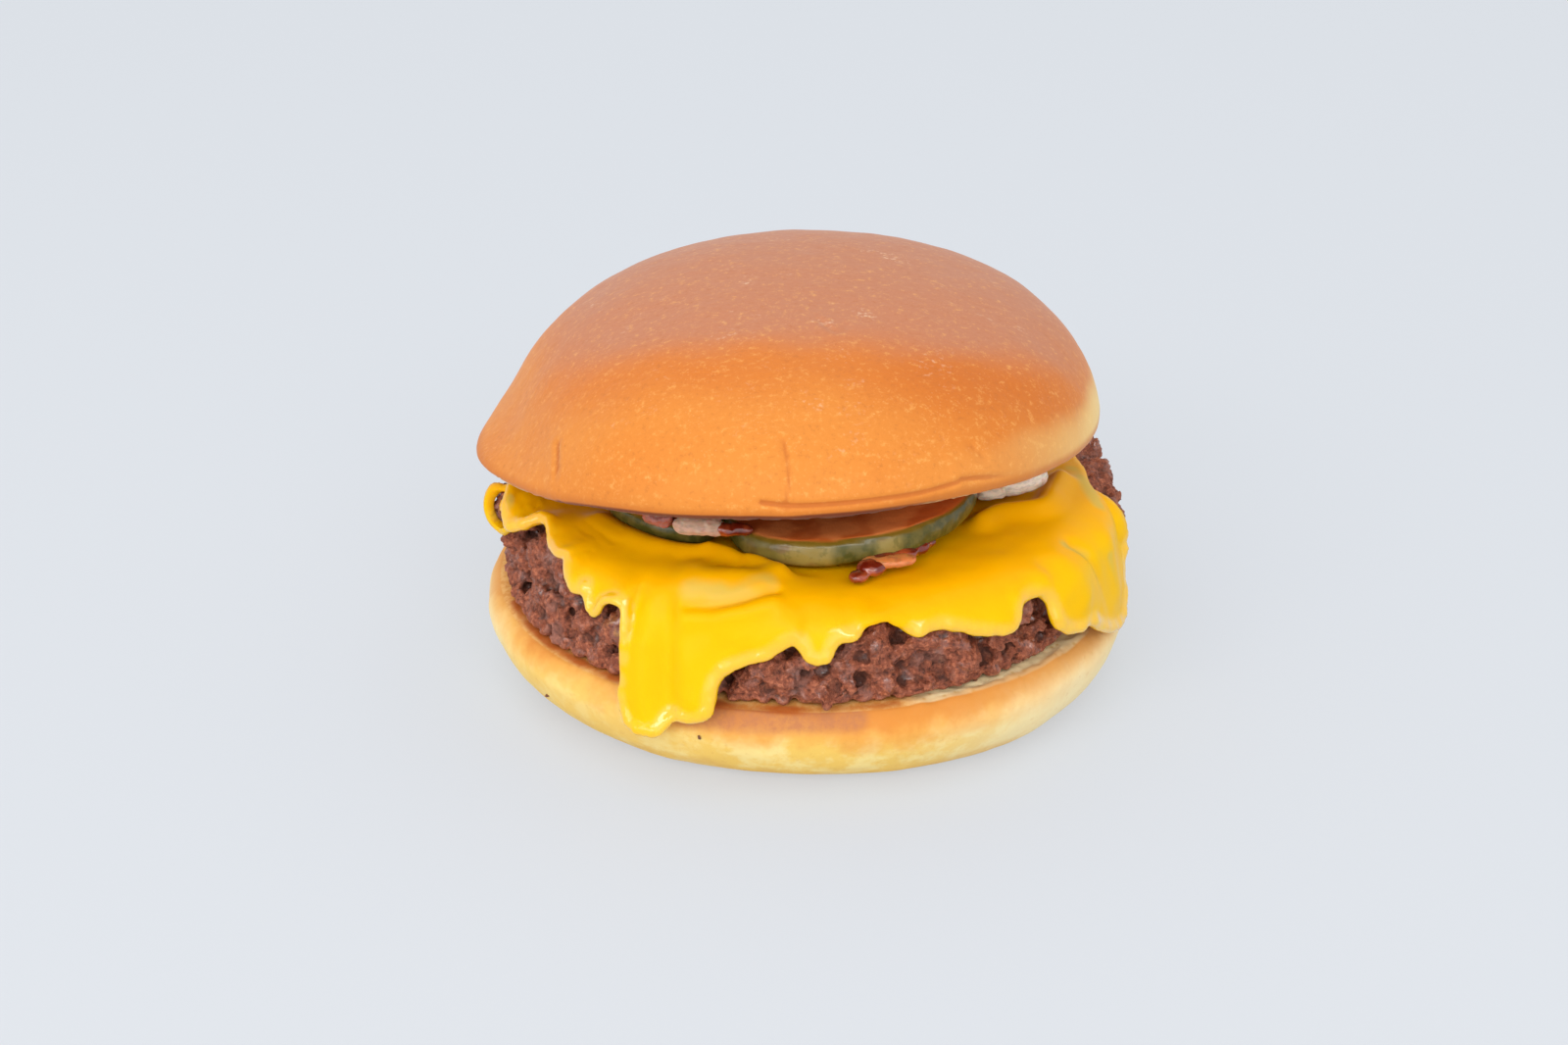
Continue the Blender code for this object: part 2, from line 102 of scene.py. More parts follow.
class BurgerBeef(bpy.types.PropertyGroup):
    """The mince patty."""
    meat: colour_property("Meat", "Red brown of the cooked mince", (0.285, 0.079, 0.040))
    glaze: colour_property("Glaze", "Grey film of fat on the lumps", (0.31, 0.165, 0.135))
    # seared spots, and also the painted shade in the furrows between the lumps
    char: colour_property("Sear", "Dark furrows and seared spots", (0.055, 0.020, 0.013))
    lump: length_property("Lump", "Half width of a typical lump of mince", 2.3 * MM)
    lumps: IntProperty(
        name="Lumps", description="Number of lumps round the side", default=330, min=50)
    voxel: length_property("Voxel", "Grid that fuses the lumps", 0.42 * MM)


class BurgerCheese(bpy.types.PropertyGroup):
    """The melted slice."""
    cheese: colour_property("Cheese", "Yellow of the hanging parts", (0.86, 0.48, 0.0))
    # painted shade: the deep colour stands in for the orange cast of shade and bounce under the crown
    deep: colour_property("Deep cheese", "Deeper yellow on top", (0.92, 0.418, 0.0))
    # thin cheese, and partly a painted reflection of the pale surroundings
    milky: colour_property("Milky", "Thin or dull patches", (0.64, 0.47, 0.09))
    scallop: length_property("Scallops", "How far the hem wavers", 0.30 * MM)
    bead: length_property("Bead", "Half width of the rounded hem", 1.05 * MM)
    voxel: length_property("Voxel", "Grid of the slice's mesh", 0.50 * MM)


class BurgerToppings(bpy.types.PropertyGroup):
    """Pickles, onion and ketchup."""
    skin: colour_property("Pickle skin", "Dark green skin", (0.060, 0.062, 0.008))
    flesh: colour_property("Pickle flesh", "Translucent olive flesh", (0.29, 0.205, 0.045))
    onion: colour_property("Onion", "Moist chopped onion", (0.84, 0.72, 0.58))
    ketchup: colour_property("Ketchup", "Ketchup in a thin layer", (0.15, 0.010, 0.003))
    onion_size: length_property("Onion size", "Length of a chopped piece", 4.2 * MM)


class BurgerStage(bpy.types.PropertyGroup):
    """Floor, light and camera."""
    floor: colour_property("Floor", "Pale floor", (0.265, 0.265, 0.268))
    floor_glow: colour_property("Floor glow", "Light from below the floor", (0.42, 0.45, 0.49))
    daylight: FloatProperty(
        name="Daylight", description="Strength of the light from all round",
        default=0.86, min=0.0)
    overhead: FloatProperty(
        name="Overhead light", description="Power of the big soft light above",
        default=3.1, min=0.0, subtype="POWER", unit="POWER")
    front: FloatProperty(
        name="Front light", description="Power of the big soft light in front",
        default=5.2, min=0.0, subtype="POWER", unit="POWER")
    strip: FloatProperty(
        name="Strip light", description="Power of the long light that gives the glints",
        default=5.0, min=0.0, subtype="POWER", unit="POWER")
    side: FloatProperty(
        name="Side light", description="Power of the low soft light on the left",
        default=1.6, min=0.0, subtype="POWER", unit="POWER")
    distance: length_property("Camera distance", "From the camera to the burger", 500 * MM)
    elevation: FloatProperty(
        name="Camera elevation", description="Angle of the camera above the table",
        default=math.radians(26.0), subtype="ANGLE", unit="ROTATION")


# ------------------------------------------------------------------ places
def direction(azimuth):
    """Unit vector in plan."""
    return Vector((math.cos(math.radians(azimuth)), math.sin(math.radians(azimuth)), 0.0))


def spot(azimuth, radius, height):
    """A point given by azimuth in degrees, and radius and height in millimetres."""
    return AXIS + direction(azimuth) * radius * MM + UP * height * MM


def smoothstep(low, high, values):
    """0 at low, 1 at high, with an eased step between."""
    t = np.clip((values - low) / (high - low), 0.0, 1.0)
    return t * t * (3.0 - 2.0 * t)


class Skin:
    """The points of a mesh as arrays, with the ways in which food is shaped."""

    def __init__(self, obj):
        self.obj = obj
        count = len(obj.data.vertices)
        self.points = self._read("co", count)
        self.normals = self._read("normal", count)

    def _read(self, what, count):
        values = np.empty(count * 3, np.float32)
        self.obj.data.vertices.foreach_get(what, values)
        return values.reshape(-1, 3).astype(float)

    @property
    def height(self):
        """Height above the table in millimetres."""
        return self.points[:, 2] / MM

    @property
    def azimuth(self):
        """Azimuth about the burger's axis, 0 to 360."""
        flat = self.points - np.array(AXIS)
        return np.degrees(np.arctan2(flat[:, 1], flat[:, 0])) % 360.0

    @property
    def radius(self):
        """Distance from the burger's axis in millimetres."""
        return np.hypot(*(self.points - np.array(AXIS))[:, :2].T) / MM

    def near_azimuth(self, middle, half_width):
        """1 at an azimuth, falling to 0 past the half width."""
        offset = (self.azimuth - middle + 180.0) % 360.0 - 180.0
        return np.exp(-np.abs(offset / half_width) ** 3)

    def billow(self, size, seed=0):
        """Smooth noise from -1 to 1; size is the length of a swell."""
        shift = 11.7 * seed
        return np.array([noise.noise(Vector(p)) for p in (self.points / size + shift).tolist()])

    def lumps(self, size, seed=0):
        """0 in the furrows between crumbs and 1 on top of them."""
        shift = 7.3 * seed
        gaps = []
        for p in (self.points / size + shift).tolist():
            near = noise.voronoi(Vector(p))[0]
            gaps.append(near[1] - near[0])
        return smoothstep(0.0, 0.55, np.array(gaps))

    def nearness(self, path, width):
        """1 on a smooth path through some points, falling to 0 over its width."""
        route = rounded(path)
        best = np.full(len(self.points), np.inf)
        for a, b in zip(route, route[1:]):
            step = np.array(b - a)
            offset = self.points - np.array(a)
            share = np.clip(offset @ step / (step @ step), 0.0, 1.0)
            gap = offset - share[:, None] * step
            best = np.minimum(best, np.einsum("ij,ij->i", gap, gap))
        return np.exp(-best / width ** 2)

    def near_route(self, route, width):
        """1 on a dense route, falling to 0 over its width."""
        tree = KDTree(len(route))
        for i, point in enumerate(route):
            tree.insert(point, i)
        tree.balance()
        gaps = np.array([tree.find(Vector(p))[2] for p in self.points.tolist()])
        return np.exp(-(gaps / width) ** 2)

    def push(self, amount):
        """Move every point along its normal."""
        self.points += self.normals * np.asarray(amount)[:, None]

    def spread(self, values, rounds):
        """Average each point's value with its neighbours' values, some times over."""
        edges = np.empty(len(self.obj.data.edges) * 2, np.int32)
        self.obj.data.edges.foreach_get("vertices", edges)
        a, b = edges.reshape(-1, 2).T
        count = len(self.points)
        degree = np.maximum(np.bincount(a, minlength=count) + np.bincount(b, minlength=count), 1)
        columns = []
        for column in np.atleast_2d(values.T):
            for _ in range(rounds):
                total = np.bincount(a, column[b], count) + np.bincount(b, column[a], count)
                column = total / degree
            columns.append(column)
        return np.array(columns).T.reshape(values.shape)

    def hollows(self, rounds):
        """How far each point lies below the smoothed surface, in metres."""
        level = self.spread(self.points, rounds)
        return np.einsum("ij,ij->i", level - self.points, self.normals)

    def paint(self, name, values):
        """Keep a value for each point that a material reads."""
        layer = self.obj.data.attributes.new(name, "FLOAT", "POINT")
        layer.data.foreach_set("value", np.clip(values, 0.0, 1.0).astype(np.float32))

    def settle(self):
        """Write the points back and read the new normals."""
        self.obj.data.vertices.foreach_set("co", self.points.astype(np.float32).ravel())
        self.obj.data.update()
        self.normals = self._read("normal", len(self.points))


def rounded(path, steps=5):
    """A smooth route through the corners of a path."""
    corners = [path[0], *path, path[-1]]
    route = []
    for p0, p1, p2, p3 in zip(corners, corners[1:], corners[2:], corners[3:]):
        for i in range(steps):
            t = i / steps
            route.append(0.5 * (2 * p1 + (p2 - p0) * t + (2 * p0 - 5 * p1 + 4 * p2 - p3) * t * t
                                + (3 * p1 - p0 - 3 * p2 + p3) * t ** 3))
    return [*route, path[-1]]


# ------------------------------------------------------------------ meshes
def only(*objects):
    """Select these objects alone; the first is active."""
    bpy.ops.object.select_all(action="DESELECT")
    for obj in objects:
        obj.select_set(True)
    bpy.context.view_layer.objects.active = objects[0]


def apply(obj, kind, **settings):
    """Add one modifier and apply it."""
    only(obj)
    modifier = obj.modifiers.new(kind, kind)
    for key, value in settings.items():
        setattr(modifier, key, value)
    bpy.ops.object.modifier_apply(modifier=modifier.name)


def fuse(obj, voxel, rounds):
    """Fuse everything in a mesh into one skin, and smooth the grid's steps away."""
    apply(obj, "REMESH", mode="VOXEL", voxel_size=voxel, use_smooth_shade=True)
    apply(obj, "SMOOTH", factor=0.5, iterations=rounds)


def copy_of(node, name, levels):
    """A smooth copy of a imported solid, in quads."""
    obj = bpy.data.objects.new(name, NODES[node].data.copy())
    bpy.context.scene.collection.objects.link(obj)
    obj.data.name = name
    obj.data.materials.clear()
    only(obj)
    bpy.ops.mesh.customdata_custom_splitnormals_clear()
    bpy.ops.object.mode_set(mode="EDIT")
    bpy.ops.mesh.select_all(action="SELECT")
    bpy.ops.mesh.remove_doubles(threshold=0.00001)
    bpy.ops.mesh.tris_convert_to_quads(
        face_threshold=math.radians(70), shape_threshold=math.radians(70))
    bpy.ops.object.mode_set(mode="OBJECT")
    if levels:
        apply(obj, "SUBSURF", levels=levels, render_levels=levels)
    bpy.ops.object.shade_smooth()
    return obj


def copies(template, name, matrices):
    """One mesh object that holds a copy of the template at each place."""
    parts = []
    for matrix in matrices:
        part = bpy.data.objects.new(name, template.data.copy())
        part.data.transform(matrix)
        bpy.context.scene.collection.objects.link(part)
        parts.append(part)
    only(*parts)
    bpy.ops.object.join()
    joined = parts[0]
    joined.name = name
    joined.data.name = name
    return joined


def settle_in(obj, slot, *nodes):
    """The piece belongs to the burger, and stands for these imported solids."""
    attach(obj, "root")
    if nodes:
        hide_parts(*nodes)


def dress(obj, finish):
    """Give a piece its material."""
    obj.data.materials.clear()
    obj.data.materials.append(finish.material)


# ------------------------------------------------------------------ materials
class Wire:
    """A shader value in a Python expression: each operator adds its Math node."""

    def __init__(self, finish, socket):
        self.finish = finish
        self.socket = socket

    def _maths(self, operation, *values):
        return self.finish.node("ShaderNodeMath", {"operation": operation}, enumerate(values))

    def __add__(self, other):
        return self._maths("ADD", self, other)

    def __sub__(self, other):
        return self._maths("SUBTRACT", self, other)

    def __rsub__(self, other):
        return self._maths("SUBTRACT", other, self)

    def __mul__(self, other):
        return self._maths("MULTIPLY", self, other)

    def __pow__(self, other):
        return self._maths("POWER", self, other)

    __radd__ = __add__
    __rmul__ = __mul__

    def step(self, low, high):
        """0 at low, 1 at high, with an eased step between."""
        values = ((0, self), (1, low), (2, high))
        settings = {"interpolation_type": "SMOOTHSTEP"}
        return self.finish.node("ShaderNodeMapRange", settings, values)


class Finish:
    """A procedural material on Object coordinates and the piece's own attributes."""

    def __init__(self, name, **constants):
        self.material = bpy.data.materials.new(name)
        self.material.use_nodes = True
        self.tree = self.material.node_tree
        self.shader = self.tree.nodes["Principled BSDF"]
        for socket, value in constants.items():
            self.shader.inputs[socket.replace("_", " ")].default_value = value
        self.place = self.node("ShaderNodeTexCoord", output="Object")

    def node(self, kind, settings=None, inputs=(), output=0):
        """Add a node: its settings first, then the values or links of its sockets."""
        node = self.tree.nodes.new(kind)
        for key, value in (settings or {}).items():
            setattr(node, key, value)
        for key, value in inputs:
            self.feed(node.inputs[key], value)
        return Wire(self, node.outputs[output])

    def feed(self, socket, value):
        """Set a socket's value, or link a wire to it."""
        if isinstance(value, Wire):
            self.tree.links.new(value.socket, socket)
        elif socket.type == "RGBA":
            socket.default_value = (*value[:3], 1.0)
        else:
            socket.default_value = value

    def grain(self, size, detail=2.0, roughness=0.5, stretch=(1, 1, 1)):
        """Noise of about this length, in metres, from 0 to 1."""
        place = self.place
        if tuple(stretch) != (1, 1, 1):
            place = self.node("ShaderNodeMapping", None, (("Vector", place), ("Scale", stretch)))
        values = (("Vector", place), ("Scale", 1.0 / size), ("Detail", detail),
                  ("Roughness", roughness))
        return self.node("ShaderNodeTexNoise", None, values)

    def cells(self, size, feature="F1"):
        """Distance in a pattern of cells of about this length."""
        values = (("Vector", self.place), ("Scale", 1.0 / size))
        return self.node("ShaderNodeTexVoronoi", {"feature": feature}, values, "Distance")

    def painted(self, name):
        """A value that the piece keeps for each point."""
        return self.node("ShaderNodeAttribute", {"attribute_name": name}, output="Fac")

    def mix(self, a, b, share):
        """Colour a turning into colour b."""
        values = ((0, share), (6, a), (7, b))
        return self.node("ShaderNodeMix", {"data_type": "RGBA"}, values, 2)

    def look(self, **sockets):
        """Link what changes over the surface to the shader."""
        for socket, value in sockets.items():
            self.feed(self.shader.inputs[socket.replace("_", " ")], value)
        return self

    def bump(self, height, distance, strength=1.0):
        """Fine relief."""
        values = (("Height", height), ("Distance", distance), ("Strength", strength))
        return self.node("ShaderNodeBump", None, values, "Normal")


# ------------------------------------------------------------------ crown
# wrinkles of the crust: points as azimuth, radius and height in mm, then depth and width shares
CROWN_WRINKLES = (
    (((216, 47.0, 49.6), (220, 49.3, 46.8), (222.3, 50.3, 42.8)), 0.9, 0.8),
    (((265, 43.0, 57.0), (266.6, 46.9, 53.8), (266.2, 49.5, 48.7)), 0.7, 0.9),
    (((262, 49.4, 49.6), (268, 49.2, 49.2), (279, 49.0, 49.3), (290, 48.7, 49.1),
      (297, 48.4, 49.5)), 1.1, 0.65),
    (((298, 48.3, 49.9), (308, 48.6, 48.4), (314, 48.7, 47.4)), 1.2, 0.65),
    (((241.5, 49.0, 51.2), (242, 50.1, 46.6)), 0.35, 1.0),
    (((277, 16, 64.8), (283, 19.3, 64.4), (290, 17.9, 64.6)), 0.6, 0.8),
    (((302, 45.5, 54.0), (304, 47.2, 51.7)), 0.6, 0.9),
    (((295, 46.0, 53.6), (296, 47.2, 51.4)), 0.4, 0.9),
)
# how the rim sags or lifts: azimuth, half width in degrees, rise in mm
RIM_LIFTS = (
    (212, 16, -0.6),
    (298, 17, 0.7),
)


def make_crown(look):
    """The bun's top half: soft dents, wrinkles, and a floury, browned crust."""
    crown = copy_of("bun_crown", "crown", 3)
    skin = Skin(crown)
    cut = smoothstep(-0.55, -0.9, skin.normals[:, 2])
    edge = rim_gap(skin, cut)
    rim = smoothstep(3.4, 0.2, edge)
    dents = skin.billow(15 * MM) + 0.35 * skin.billow(6 * MM, 1) + 0.14 * skin.billow(2.6 * MM, 2)
    relief = look.dent * dents * (1.0 - cut)
    wrinkles = np.zeros(len(skin.points))
    for path, depth, width in CROWN_WRINKLES:
        route = [spot(*corner) for corner in path]
        line = skin.nearness(route, width * 0.75 * MM)
        swell = skin.nearness(route, width * 2.1 * MM)
        relief += look.crease * depth * (0.55 * swell - 1.35 * line) * (1.0 - cut)
        wrinkles = np.maximum(wrinkles, line * depth)
    crumb = skin.lumps(2.4 * MM) * 0.35 * MM * cut
    skin.push(relief - crumb)
    for middle, half_width, rise in RIM_LIFTS:
        low = smoothstep(9.0, 0.0, edge) * smoothstep(38.0, 45.0, skin.radius)
        skin.points[:, 2] += rise * MM * low * skin.near_azimuth(middle, half_width)
    skin.settle()
    side = (skin.near_azimuth(12, 50) * smoothstep(61, 52, skin.height)
            * smoothstep(44.6, 47.4, skin.radius + 0.8 * skin.billow(8 * MM, 5)))
    skin.paint("cut", cut)
    skin.paint("rim", rim)
    under = cut * smoothstep(36.0, 42.0, skin.radius)
    # ketchup under the crown, and painted shade along the rim's lower edge
    skin.paint("sauce", np.maximum(rim, under) * skin.near_azimuth(255, 68))
    skin.paint("pale", side)
    # the top patch is partly browner crust and partly a painted sheen where the top is seen at a grazing
    # angle
    back = (skin.points[:, 1] - AXIS.y) / MM + 1.05 * skin.height + 3.0 * skin.billow(11 * MM, 6)
    skin.paint("top", smoothstep(38.0, 51.0, back) * smoothstep(48.0, 60.0, skin.height))
    skin.paint("deep", smoothstep(22.0, 38.0, back) * smoothstep(46.0, 58.0, skin.height))
    skin.paint("red", skin.nearness([spot(308, 36, 60), spot(322, 42, 56)], 12 * MM))
    # painted shade: the crust is darkened along the creases, where shade falls in them
    skin.paint("wrinkle", wrinkles * smoothstep(60.0, 56.0, skin.height))
    dress(crown, crust_finish(look))
    settle_in(crown, "crown_crust", "bun_crown")


def rim_gap(skin, cut):
    """Height above the crown's lower edge, in millimetres."""
    azimuth = skin.azimuth
    outer = (cut < 0.5) & (skin.normals[:, 2] < 0.1)
    sector = (azimuth // 6).astype(int)
    lowest = np.array([skin.height[outer & (sector == i)].min() for i in range(60)])
    local = np.interp(azimuth, np.arange(-1, 61) * 6 + 3, [lowest[-1], *lowest, lowest[0]])
    return skin.height - local


def crust_finish(look):
    """Baked crust: mottled golden brown, floury specks, crumb on the cut face; painted sheen on top,
    painted shade in the creases and under the rim's edge.
    """
    finish = Finish("crown crust", Roughness=0.5, Specular_IOR_Level=0.14,
                    Sheen_Weight=0.10, Sheen_Roughness=0.45)
    height = finish.node("ShaderNodeSeparateXYZ", None, ((0, finish.place),), 2)
    rim = finish.painted("rim")
    top = finish.painted("top")
    blotch = finish.grain(24 * MM, 3.0, 0.55).step(0.40, 0.66)
    fine = finish.grain(1.1 * MM, 4.0, 0.7)
    skin = finish.mix(look.crust, look.deep_crust, blotch * 0.3)
    skin = finish.mix(skin, look.deep_crust, finish.painted("deep") * 0.7)
    skin = finish.mix(skin, (0.52, 0.12, 0.010), finish.painted("red") * 0.55)
    # browner top crust with painted grazing sheen
    skin = finish.mix(skin, look.top_crust, top * 0.95)
    skin = finish.mix(skin, (0.86, 0.44, 0.12), fine.step(0.52, 0.74) * 0.42)
    skin = finish.mix(skin, (0.42, 0.12, 0.02), fine.step(0.46, 0.26) * 0.38)
    speck = finish.cells(0.62 * MM).step(0.30, 0.12) * finish.grain(6 * MM, 3.0).step(0.46, 0.62)
    skin = finish.mix(skin, (0.92, 0.55, 0.25), speck * 0.13)
    dust = finish.grain(9 * MM, 4.0, 0.75).step(0.56, 0.72) * finish.grain(0.8 * MM, 2.0).step(0.5, 0.7)
    skin = finish.mix(skin, (0.86, 0.62, 0.42), dust * height.step(0.048, 0.064) * 0.55)
    # painted shade in the creases
    skin = finish.mix(skin, (0.50, 0.13, 0.02), finish.painted("wrinkle").step(0.3, 0.85) * 0.8)
    skin = finish.mix(skin, look.pale, finish.painted("pale") * 0.9)
    skin = finish.mix(skin, (0.55, 0.155, 0.018), rim.step(0.25, 0.9) * 0.75)
    pores = finish.cells(1.9 * MM).step(0.0, 0.5)
    crumb = finish.mix((0.30, 0.12, 0.04), (0.62, 0.36, 0.14), pores)
    crumb = finish.mix(crumb, (0.25, 0.03, 0.012), finish.grain(14 * MM, 3.0).step(0.45, 0.6) * 0.8)
    base = finish.mix(skin, crumb, finish.painted("cut").step(0.3, 0.7))
    # ketchup stain and painted shade under the rim
    base = finish.mix(base, (0.12, 0.018, 0.008), finish.painted("sauce").step(0.80, 0.95) * 0.92)
    relief = fine * 0.6 + finish.cells(0.9 * MM, "SMOOTH_F1") * 0.5 + finish.grain(4 * MM, 3.0) * 0.7
    return finish.look(
        Base_Color=base,
        Roughness=0.44 + 0.14 * finish.grain(3 * MM, 3.0),
        Normal=finish.bump(relief, 0.16 * MM, 0.5))


# ------------------------------------------------------------------ heel
def make_heel(look):
    """The bun's bottom half: browned rim, pale side, wrinkled foot and cut crumb."""
    heel = copy_of("bun_heel", "heel", 3)
    skin = Skin(heel)
    top = smoothstep(0.80, 0.97, skin.normals[:, 2])
    foot = smoothstep(5.0, 0.8, skin.height) * smoothstep(-0.95, -0.6, skin.normals[:, 2])
    dents = skin.billow(12 * MM, 3) + 0.4 * skin.billow(5 * MM, 4) + 0.15 * skin.billow(2.4 * MM, 6)
    relief = look.dent * dents * (1.0 - top) * smoothstep(0.3, 2.5, skin.height)
    folds = np.abs(np.sin(skin.height * 2.6 + 3.0 * skin.billow(7 * MM, 8)))
    relief -= 0.30 * MM * foot * (1.0 - folds) ** 2 * smoothstep(0.3, 1.5, skin.height)
    lip = (np.exp(-((skin.radius - rim_radius(skin)) / 1.3) ** 2)
           * smoothstep(13.2, 14.8, skin.height))
    crumb = skin.near_azimuth(311, 22)
    torn = lip * crumb * (0.9 + 0.9 * skin.billow(3.2 * MM, 9))
    relief -= (0.05 + 0.25 * crumb) * MM * top * skin.lumps(2.2 * MM)
    skin.push(relief)
    skin.points[:, 2] += 0.75 * MM * torn
    skin.settle()
    skin.paint("top", top)
    skin.paint("crumb", crumb)
    skin.paint("grease", heel_grease(skin))
    skin.paint("plum", skin.nearness([spot(249, 50.3, 13.2), spot(262, 50.2, 13.8),
                                      spot(278, 49.8, 13.8)], 2.4 * MM))
    skin.paint("tan", skin.near_azimuth(222, 30) * smoothstep(2.5, 8.5, skin.height))
    # paler crust on the left; on the right shoulder the paler colour is painted light against the shadow
    # of the cheese's corner
    cream = np.maximum(skin.near_azimuth(329, 30), skin.near_azimuth(182, 22))
    skin.paint("cream", cream * smoothstep(17.0, 10.5, skin.height))
    skin.paint("torn", lip * crumb)
    dress(heel, heel_finish(look))
    settle_in(heel, "heel_bread", "bun_heel")


def rim_radius(skin):
    """Radius of the heel's upper rim at each point's azimuth, in millimetres."""
    flat = skin.normals[:, 2] > 0.9
    sector = (skin.azimuth // 6).astype(int)
    widest = np.array([skin.radius[flat & (sector == i)].max() for i in range(60)])
    places = np.arange(-1, 61) * 6 + 3
    return np.interp(skin.azimuth, places, [widest[-1], *widest, widest[0]])


def heel_grease(skin):
    """Orange fat soaked in where the patty's foot meets the bread."""
    line = [spot(azimuth, 48.6, 15.0) for azimuth in range(196, 292, 6)]
    return skin.nearness(line, 1.3 * MM) * (0.85 + 0.5 * skin.billow(5 * MM, 2))


def heel_finish(look):
    """Baked bottom: cream side, orange brown shoulder, fat and crumb on the cut; painted light lifts the
    right shoulder under the cheese's corner.
    """
    finish = Finish("heel bread", Roughness=0.55, Specular_IOR_Level=0.12)
    height = finish.node("ShaderNodeSeparateXYZ", None, ((0, finish.place),), 2)
    wander = finish.grain(9 * MM, 4.0, 0.6)
    level = height + (wander - 0.5) * 0.009 - 0.0028 * finish.painted("tan")
    fine = finish.grain(1.3 * MM, 4.0, 0.7)
    mottle = finish.grain(6 * MM, 4.0, 0.65).step(0.42, 0.62)
    # less browning and a paler colour: pale crust, and painted light on the right shoulder
    baked = 1.0 - finish.painted("cream") * 0.8
    side = finish.mix((0.84, 0.545, 0.12), (0.88, 0.68, 0.26), mottle)
    side = finish.mix(side, (0.82, 0.53, 0.14), finish.painted("tan") * (0.4 + 0.3 * wander))
    side = finish.mix(side, (0.90, 0.76, 0.46), finish.painted("cream") * 0.8)
    side = finish.mix(side, (0.77, 0.34, 0.065), level.step(0.0075, 0.0115) * 0.85 * baked)
    side = finish.mix(side, (0.66, 0.22, 0.036), level.step(0.0106, 0.0138) * 0.8 * baked)
    side = finish.mix(side, (0.72, 0.40, 0.10), level.step(0.0045, 0.0015) * 0.45)
    side = finish.mix(side, (0.62, 0.30, 0.07), fine.step(0.44, 0.25) * 0.3)
    plum = finish.painted("plum").step(0.12, 0.8) * (0.6 + 0.35 * fine.step(0.35, 0.65))
    side = finish.mix(side, (0.50, 0.19, 0.075), plum)
    crumb = finish.mix((0.70, 0.48, 0.19), look.crumb, finish.cells(1.6 * MM).step(0.0, 0.35))
    crumb = finish.mix(crumb, (0.66, 0.30, 0.08), finish.painted("torn").step(0.3, 0.8) * 0.7)
    browned = finish.mix((0.70, 0.31, 0.075), (0.78, 0.43, 0.14), fine.step(0.4, 0.6))
    crumb = finish.mix(browned, crumb, finish.painted("crumb").step(0.2, 0.7))
    base = finish.mix(side, crumb, finish.painted("top").step(0.4, 0.8))
    base = finish.mix(base, (0.40, 0.072, 0.010), finish.painted("grease").step(0.25, 0.9) * 0.85)
    relief = fine * 0.6 + finish.cells(1.1 * MM, "SMOOTH_F1") * 0.4 + wander * 0.8
    return finish.look(
        Base_Color=base,
        Roughness=0.58 - 0.25 * finish.painted("grease") + 0.1 * fine,
        Normal=finish.bump(relief, 0.18 * MM, 0.6))


# ------------------------------------------------------------------ patty
# masses of mince that show at the front: azimuth, radius and height of the middle, then
# half width, in mm
MINCE_MASSES = (
    (184.0, 46.6, 25.6, 4.0),
    (187.5, 47.0, 28.8, 4.0),
    (189.5, 46.4, 23.4, 3.8),
    (185.5, 46.8, 29.4, 3.4),
    (193.0, 45.8, 29.2, 3.4),
    (202.5, 42.6, 25.6, 5.2),
    (204.5, 42.6, 21.0, 5.4),
    (212.5, 43.8, 18.8, 3.8),
    (217.5, 44.6, 23.6, 3.2),
    (224.5, 46.4, 27.6, 2.6),
    (223.0, 46.4, 21.0, 2.9),
    (228.0, 46.2, 17.8, 2.3),
    (233.2, 47.4, 22.8, 3.5),
    (235.8, 46.8, 18.6, 2.9),
    (259.5, 46.2, 18.2, 3.0),
    (264.5, 46.6, 20.4, 3.2),
    (270.5, 47.2, 23.2, 2.6),
    (271.5, 46.4, 18.2, 3.1),
    (277.0, 46.4, 21.6, 3.2),
    (282.5, 46.4, 24.6, 3.4),
    (284.0, 46.2, 19.0, 3.5),
    (289.5, 45.8, 23.6, 2.6),
    (297.0, 46.6, 23.4, 3.6),
    (300.5, 46.4, 20.4, 3.0),
    (307.5, 47.2, 21.4, 2.7),
    (312.7, 48.0, 25.0, 2.7),
    (315.5, 47.2, 20.2, 2.2),
    (350.5, 48.0, 26.6, 3.8),
    (356.0, 48.4, 25.6, 3.8),
    (2.0, 47.2, 25.6, 3.4),
)


FOOT_NUGGETS = 42                    # small lumps along the foot, from the left round to the right


def tree_of(node):
    """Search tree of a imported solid."""
    mesh = NODES[node].data
    return BVHTree.FromPolygons([v.co for v in mesh.vertices], [p.vertices for p in mesh.polygons])


